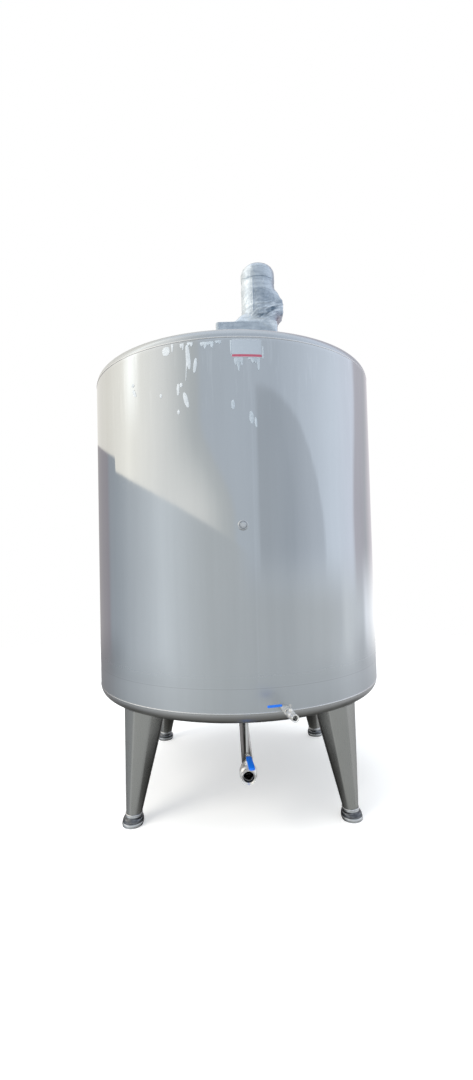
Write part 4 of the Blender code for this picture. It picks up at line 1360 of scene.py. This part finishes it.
def polished_finish(name, base, roughness):
    """Polished steel with faint wiping marks and specks of dust."""
    steel = Finish(name, Metallic=1.0)
    place = steel.place()
    wipe = steel.noise(steel.stretch(place, 1, 0.3, 1), 60, 4)
    dust = steel.noise(place, 700, 2).ramp(0.62, 0.75)
    dark, light = (tuple(c * share for c in base) for share in (0.93, 1.05))
    colour = steel.mix(wipe, dark, light)
    colour = steel.mix(dust * 0.25, colour, (0.45, 0.44, 0.42))
    return steel.coat(colour, roughness + wipe * 0.06 + dust * 0.25, wipe, 0.0001, 0.4)


def foot_finish():
    """The mirror of the bell feet, with a painted dark reflection (painted shade) on the flare; rim and
    neck keep the plain mirror colour.
    """
    steel = Finish("foot_steel", Metallic=1.0)
    place = steel.place()
    z = steel.parts(place)[2]
    smear_and_shade = steel.noise(steel.stretch(place, 1, 1, 3), 45, 4)
    dust = steel.noise(place, 600, 2).ramp(0.60, 0.75)
    flare = z.ramp(0.0185, 0.022) * z.ramp(0.046, 0.052, 1.0, 0.0)
    # painted shade: the flare's dark reflection is painted into its colour, mottled by the smear noise
    painted_flare_shade = (flare * (0.55 + smear_and_shade * 0.7)).limit()
    colour = steel.mix(painted_flare_shade, (0.66, 0.67, 0.68), (0.085, 0.09, 0.10))
    colour = steel.mix(dust * 0.2, colour, (0.40, 0.39, 0.37))
    return steel.coat(colour, 0.05 + smear_and_shade * 0.10 + dust * 0.2, smear_and_shade, 0.0002, 0.4)


def cast_finish(name, base, metallic=1.0):
    """Tumbled casting: fine pits, brighter on its rubbed edges."""
    steel = Finish(name, Metallic=metallic)
    place = steel.place()
    pits = steel.noise(place, 620, 4, 0.6)
    cloud = steel.noise(place, 60, 3)
    edge = steel.node("ShaderNodeNewGeometry", {}, {}, "Pointiness").ramp(0.5, 0.58)
    colour = steel.mix((pits * 0.6 + cloud * 0.4).limit(), tuple(c * 0.87 for c in base), base)
    colour = steel.mix(edge * 0.35, colour, (0.86, 0.85, 0.82))
    return steel.coat(colour, 0.24 + pits * 0.17 - edge * 0.08, pits, 0.0002, 0.6)


def grip_finish():
    """Dipped vinyl: deep blue, waxy, with light scuffs."""
    vinyl = Finish("vinyl_blue", Metallic=0.0)
    place = vinyl.place()
    skin = vinyl.noise(place, 900, 3)
    scuff = vinyl.noise(vinyl.stretch(place, 1, 1, 3), 90, 4).ramp(0.58, 0.72)
    colour = vinyl.mix(skin, (0.002, 0.125, 0.67), (0.003, 0.190, 0.86))
    colour = vinyl.mix(scuff * 0.35, colour, (0.05, 0.36, 0.95))
    return vinyl.coat(colour, 0.34 + skin * 0.10 + scuff * 0.15, skin, 0.0002, 0.5)


def paint_finish():
    """Blue-grey machine paint with a light orange peel and rubbed patches."""
    paint = Finish("machine_paint", Metallic=0.0)
    place = paint.place()
    peel = paint.noise(place, 260, 2)
    cloud = paint.noise(place, 16, 4)
    colour = paint.mix(cloud, (0.17, 0.22, 0.27), (0.23, 0.285, 0.34))
    return paint.coat(colour, 0.32 + cloud * 0.15, peel, 0.0003, 0.4)


def film_bright(turn, z):
    """Painted light on the film's left, a painted reflection on its slope over the case's edge, and a
    lighter cape over the case's right end.
    """
    # painted light on the left, and a painted reflection on the upward slope over the case's edge
    left = turn.ramp(-0.55, -0.32, 0.22, 0.0) * z.ramp(3.03, 3.08)
    tent = z.near(3.045, 0.020) * turn.ramp(0.1, 0.6, 0.25, 0.0)
    cape = (turn - (CASE_HIGH.z - z) * 4).ramp(0.36, 0.60)
    return left + tent + cape * z.ramp(CASE_HIGH.z, CASE_HIGH.z + 0.02, 0.28, 0.0)


def film_folds(film, turn, z, wander, crumple):
    """What the slanting folds, the thin patch, the painted shade in the crumpled gape and the seams add to
    the film's milk.
    """
    slope = z - turn * 0.066 + (wander - 0.5) * 0.015
    slant = film.node("ShaderNodeCombineXYZ", {}, {0: slope * 20, 1: turn * 0.6, 2: 0.0})
    folds = film.noise(slant, 3, 3, 0.4)
    crossed = z.ramp(3.03, 3.07) * z.ramp(3.17, 3.21, 1.0, 0.0) * turn.ramp(-0.35, 0.0)
    across = (turn - 0.30) / 0.66
    thin = (across ** 4 + ((z - 3.214) / 0.050) ** 4).ramp(0.75, 1.15, 1.0, 0.0)
    gape = ((turn - 0.48) / 0.62) ** 2 + ((slope - 3.071) / 0.022) ** 2
    # painted shade: darkening in the crumpled folds where the film gapes
    gape_shade = gape.ramp(0.2, 1.3, 1.0, 0.0) * (folds * 0.7 + crumple * 0.5).ramp(0.40, 0.72, 1.0, 0.15)
    seam = (z - (CREASE_LEVEL + abs(turn).ramp(0.7, 1.4) * 0.026)).near(0.0, 0.0035)
    arc = z.near(3.411, 0.0025) * 0.5
    light = crossed * (folds.ramp(0.40, 0.72) - 0.35) * 0.34
    return light - thin * 0.12 - (seam + arc) * 0.45 - gape_shade * 0.66


def film_finish():
    """Layers of clear stretch film: silvery and milky where they overlap, with painted light at the left
    and painted shade where they gape.
    """
    film = Finish("stretch_film", Metallic=0.75)
    place = film.place()
    x, y, z = film.parts(place)
    turn = film.turn(x - MOTOR.x, y - MOTOR.y)
    wander = film.noise(place, 9, 2)
    layer = (((z + turn * 0.020 + wander * 0.012) * 52).sine() * 0.5 + 0.5).ramp(0.40, 0.60)
    crumple = film.noise(film.stretch(place, 1, 1, 0.6), 42, 4, 0.55)
    streak = film.noise(film.stretch(place, 1, 1, 4), 16, 3, 0.5)
    milk = 0.46 + layer * 0.10 + (streak - 0.5) * 0.45 + (crumple - 0.5) * 0.35
    # the milk also carries the painted light of film_bright and the painted shade of film_folds
    milk = (milk + film_bright(turn, z) + film_folds(film, turn, z, wander, crumple)).limit()
    colour = film.mix(milk, (0.16, 0.225, 0.30), (0.80, 0.865, 0.93))
    shade = turn.ramp(0.75, 1.08) * z.ramp(3.03, 3.14, 1.0, 0.0)
    colour = film.mix(shade * 0.85, colour, (0.22, 0.175, 0.215))
    film.drive("Alpha", (0.74 + milk * 0.24).limit())
    return film.coat(colour, 0.16 + crumple * 0.16, crumple * 0.8 + streak * 0.4, 0.0012, 0.45)


def residue_finish():
    """Dull white scraps of film and glue, thicker on the left."""
    glue = Finish("film_residue", Metallic=0.0)
    place = glue.place()
    mottle = glue.noise(place, 40, 3)
    thin = glue.mix(mottle, (0.44, 0.505, 0.57), (0.51, 0.575, 0.64))
    thick = glue.mix(mottle, (0.58, 0.615, 0.64), (0.66, 0.69, 0.715))
    colour = glue.mix(glue.parts(place)[0].ramp(-0.32, -0.06), thick, thin)
    glue.drive("Alpha", mottle.ramp(0.3, 0.7, 0.78, 0.92))
    return glue.coat(colour, 0.40 + mottle * 0.2, mottle, 0.0001, 0.3)


def plate_finish():
    """A bare white plate with a red stripe along its lower edge."""
    low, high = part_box("label_plate")
    plate = Finish("plate_white", Metallic=0.0)
    place = plate.place()
    share = (plate.parts(place)[2] - low.z) / (high.z - low.z)
    stripe = abs(share - 0.105).ramp(0.060, 0.070, 1.0, 0.0)
    wear = plate.noise(place, 160, 4)
    inside = abs(share - 0.5).ramp(0.480, 0.490, 1.0, 0.0)
    colour = plate.mix(wear, (0.34, 0.39, 0.45), (0.41, 0.46, 0.52))
    colour = plate.mix(stripe * (0.75 + wear * 0.3).limit(), colour, (0.40, 0.05, 0.10))
    colour = plate.mix((1 - inside) * 0.6, colour, (0.45, 0.47, 0.50))
    return plate.coat(colour, 0.28 + wear * 0.2, wear, 0.0001, 0.5)


def make_finishes():
    """Every finish of the tank by its short name."""
    return {
        "shell": shell_finish(),
        "head": end_finish("head_steel", (0.50, 0.53, 0.56), 0.20, 0.08),
        # painted shade: the bottom end's sheet is darker than the top end's, for the shade under the tank
        "under": end_finish("under_steel", (0.46, 0.46, 0.455), 0.36, 0.10),
        "leg": leg_finish(),
        "weld": weld_finish("weld_steel", 420, 0.0003),
        "ground": weld_finish("ground_weld", 60, 0.0002),
        "polished": polished_finish("mirror_steel", (0.66, 0.67, 0.68), 0.05),
        "foot": foot_finish(),
        # painted shade: the drain run's polished steel is made dark for the shade it sits in under the
        # tank
        "pipe": polished_finish("pipe_steel", (0.27, 0.27, 0.265), 0.10),
        "bar": polished_finish("bar_steel", (0.70, 0.69, 0.67), 0.26),
        "cast": cast_finish("cast_steel", (0.92, 0.91, 0.88), 0.78),
        "socket": cast_finish("socket_steel", (0.53, 0.555, 0.59)),
        # painted shade: near-black steel for the shadowed threads in the mouths and the rings at the
        # waists
        "thread": polished_finish("thread_steel_painted_shade", (0.035, 0.035, 0.035), 0.40),
        "seat": polished_finish("seat_steel", (0.95, 0.95, 0.94), 0.50),
        "lever": cast_finish("lever_steel", (0.60, 0.60, 0.59)),
        "nut": cast_finish("nut_steel", (0.74, 0.74, 0.71)),
        "grip": grip_finish(),
        "paint": paint_finish(),
        "film": film_finish(),
        "residue": residue_finish(),
        "plate": plate_finish(),
    }


def make_camera():
    """The photograph's viewpoint: close in front, a little above waist height, wide."""
    data = bpy.data.cameras.new("camera")
    data.sensor_width = SENSOR
    data.lens = CAMERA_LENS_PIXELS / FRAME_HEIGHT_PIXELS * SENSOR
    camera = in_scene("camera", data)
    view = Matrix.Translation(CAMERA_PLACE)
    for angle, axis in ((CAMERA_YAW, "Z"), (math.pi / 2 + CAMERA_PITCH, "X"), (CAMERA_ROLL, "Z")):
        view = view @ Matrix.Rotation(angle, 4, axis)
    camera.matrix_world = view
    bpy.context.scene.camera = camera


def soft_light(name, place, target, size, power, colour):
    """A square studio light aimed at a point, not mirrored in the tank."""
    data = bpy.data.lights.new(name, "AREA")
    data.shape = "RECTANGLE"
    data.size, data.size_y = size, size
    data.energy = power
    data.color = colour
    light = in_scene(name, data)
    aim = Vector(target) - Vector(place)
    light.rotation_euler = aim.to_track_quat("-Z", "Y").to_euler()
    light.location = place
    light.visible_glossy = False
    light.visible_camera = False


UPPER_LIGHT = (
    (0.0, (0.86, 0.84, 0.86)),
    (0.045, (0.95, 0.92, 0.86)),
    (0.08, (0.95, 0.92, 0.86)),
    (0.16, (1.16, 1.10, 0.99)),
    (0.25, (1.54, 1.47, 1.33)),
    (0.34, (1.25, 1.22, 1.16)),
    (0.405, (0.80, 0.82, 0.81)),
    (0.424, (0.74, 0.765, 0.77)),
    (0.436, (0.715, 0.765, 0.82)),
    (0.60, (0.71, 0.77, 0.85)),
    (0.74, (1.02, 1.09, 1.20)),
    (0.815, (1.04, 1.08, 1.20)),
    (0.828, (0.74, 0.71, 0.77)),
    (0.868, (0.66, 0.64, 0.69)),
    (0.885, (0.62, 0.62, 0.66)),
    (0.92, (0.78, 0.74, 0.78)),
    (0.955, (0.82, 0.78, 0.82)),
    (1.0, (0.86, 0.84, 0.86)),
)
LOWER_LIGHT = (
    (0.0, (0.90, 0.90, 0.91)),
    (0.045, (0.44, 0.42, 0.42)),
    (0.155, (0.46, 0.43, 0.46)),
    (0.168, (0.48, 0.51, 0.55)),
    (0.20, (0.53, 0.57, 0.61)),
    (0.34, (0.96, 1.00, 1.03)),
    (0.44, (0.73, 0.76, 0.77)),
    (0.60, (0.66, 0.69, 0.71)),
    (0.70, (0.77, 0.80, 0.82)),
    (0.745, (0.82, 0.85, 0.88)),
    (0.76, (1.00, 1.03, 1.06)),
    (0.835, (0.87, 0.90, 0.95)),
    (0.848, (1.20, 1.23, 1.30)),
    (0.92, (1.35, 1.35, 1.36)),
    (0.955, (1.20, 1.20, 1.20)),
    (1.0, (0.90, 0.90, 0.91)),
)
GLOW = (1.95, 1.91, 1.80)
OVERHEAD_LIGHT = (0.95, 1.00, 1.06)
UNDER_LIGHT = (0.26, 0.26, 0.25)
EVEN_LIGHT = (0.74, 0.78, 0.82)
EDGE_LEVEL = 0.0292
EDGE_FALL = 0.3642
EDGE_BOW = 0.1892
EDGE_CORNER = -0.608
EDGE_STEP = 0.027


def mirrored_light(light, turn, z):
    """What the wall mirrors: the upper and the lower light, parted by a slanting edge."""
    share = turn * 0.5 + 0.5
    left_lean = z.ramp(0.08, 0.30, 0.07, 0.0) * abs(turn).ramp(0.12, 0.35, 1.0, 0.0)
    right_lean = z.ramp(0.05, 0.33, 0.02, 0.0) * turn.ramp(0.50, 0.60)
    upper_share = share - left_lean + right_lean
    upper = light.node("ShaderNodeValToRGB", {"stops": UPPER_LIGHT}, {0: upper_share})
    upper = light.mix(share.near(0.258, 0.034) * z.ramp(0.23, 0.38), upper, GLOW)
    lower = light.node("ShaderNodeValToRGB", {"stops": LOWER_LIGHT}, {0: share})
    step = turn.ramp(EDGE_CORNER - 0.004, EDGE_CORNER + 0.004, EDGE_STEP, 0.0)
    over_line = z + turn * EDGE_FALL + turn * turn * EDGE_BOW - EDGE_LEVEL - step
    to_right = (turn.ramp(-0.02, 0.08) + turn.ramp(-1.0, -0.92, 1.0, 0.0)).limit()
    over_edge = over_line.ramp(-0.003, 0.003) * (1 - to_right)
    over_edge = over_edge + (z + 0.05).ramp(-0.08, 0.08) * to_right
    return light.mix(over_edge, lower, upper)


def dimmed_light(light, colour, turn, y, z):
    """The same with its dark parts: low in front, at the sides, under the tank and behind it."""
    mound = ((turn - 0.10) / 0.31) ** 2 + (z / 0.345) ** 2
    mound = mound.ramp(0.95, 1.05, 1.0, 0.0) * (turn - 0.10).ramp(-0.010, 0.010) * z.ramp(-0.08, 0.03)
    colour = light.mix(mound * 0.20, colour, (0.10, 0.10, 0.08))
    sides = z.ramp(-0.26, -0.12, 1.0, 0.0) * abs(turn).ramp(0.52, 0.66)
    colour = light.mix(sides * 0.50, colour, (0.12, 0.12, 0.12))
    colour = light.mix(z.ramp(0.80, 0.98), colour, OVERHEAD_LIGHT)
    aside = abs(abs(turn) - 0.43).ramp(0.07, 0.15, 1.0, 0.0) * z.ramp(-0.30, -0.24, 1.0, 0.0)
    colour = light.mix(aside * 0.24, colour, (0.10, 0.10, 0.10))
    colour = light.mix(z.ramp(-0.92, -0.36, 1.0, 0.0), colour, UNDER_LIGHT)
    behind = y.ramp(0.0, 0.3) * z.ramp(-0.60, -0.42, 1.0, 0.0)
    return light.mix(behind, colour, (0.08, 0.08, 0.075))


def make_world():
    """Soft light all round: warm and bright from the upper left, cool from the right, dim below.

    The tank mirrors it. What isn't polished is lit evenly, and the camera sees plain white.
    """
    world = bpy.data.worlds.new("studio")
    bpy.context.scene.world = world
    world.use_nodes = True
    light = Nodes(world.node_tree)
    light.tree.nodes.clear()
    x, y, z = light.parts(light.node("ShaderNodeTexCoord", {}, {}, "Generated"))
    turn = light.turn(x, y) / math.pi
    colour = dimmed_light(light, mirrored_light(light, turn, z), turn, y, z)
    for ray, shade in (("Is Diffuse Ray", EVEN_LIGHT), ("Is Camera Ray", (1, 1, 1))):
        colour = light.mix(light.node("ShaderNodeLightPath", {}, {}, ray), colour, shade)
    background = light.node("ShaderNodeBackground", {}, {0: colour})
    light.node("ShaderNodeOutputWorld", {}, {0: background})


def make_studio():
    """Pale floor, white surround and soft light."""
    bpy.context.scene.view_settings.view_transform = "Standard"
    make_world()
    make_floor()
    make_shade()
    soft_light("key", (-4.2, -3.4, 4.6), (0, 0, 1.6), 3.0, 200, (1.0, 0.95, 0.86))
    soft_light("overhead", (0, 0, 6.5), (0, 0, 0), 6.0, 160, (1.0, 1.0, 1.0))


def ground_disc(name, finish, radius, steps):
    """A flat disc on the ground."""
    mesh = bpy.data.meshes.new(name)
    shape = bmesh.new()
    bmesh.ops.create_circle(shape, cap_ends=True, segments=steps, radius=radius)
    shape.to_mesh(mesh)
    shape.free()
    mesh.materials.append(finish.material)
    return in_scene(name, mesh)


def make_floor():
    """A wide plain floor that fades into the white surround. It isn't part of the tank."""
    paper = Finish("floor_paper", Roughness=0.9, Emission_Strength=0.40)
    place = paper.place()
    x, y, _ = paper.parts(place)
    tone = paper.mix(paper.noise(place, 3, 3), (0.90, 0.90, 0.90), (0.93, 0.93, 0.93))
    paper.drive("Base Color", tone)
    paper.drive("Emission Color", tone)
    paper.drive("Alpha", ((x * x + y * y) ** 0.5).ramp(2.2, 6.5, 1.0, 0.0))
    floor = ground_disc("floor", paper, 7, 96)
    floor.visible_glossy = False


def make_shade():
    """The tank's own shadow on the ground, as its polished legs and feet mirror it."""
    dusk = Finish("shadow_paper", Roughness=1.0)
    place = dusk.place()
    x, y, _ = dusk.parts(place)
    y = y - AXIS.y
    tone = dusk.mix(dusk.noise(place, 5, 3), (0.030, 0.030, 0.028), (0.060, 0.059, 0.055))
    dusk.drive("Base Color", tone)
    dusk.drive("Alpha", ((x * x + y * y) ** 0.5).ramp(0.66, 0.96, 0.92, 0.0))
    shade = ground_disc("shade", dusk, 1.2, 64)
    shade.location = (0, 0, 0.0005)
    shade.visible_camera = False
    shade.visible_diffuse = False
    shade.visible_shadow = False


def main():
    """Dresses the tank from the vessel outwards, then sets the studio round it."""
    FINISHES.update(make_finishes())
    make_shell()
    make_heads()
    make_seams()
    make_legs()
    make_drain()
    make_valves()
    make_sensor()
    make_plate()
    make_residue()
    make_pedestal()
    make_drive()
    make_film()
    make_camera()
    make_studio()


main()
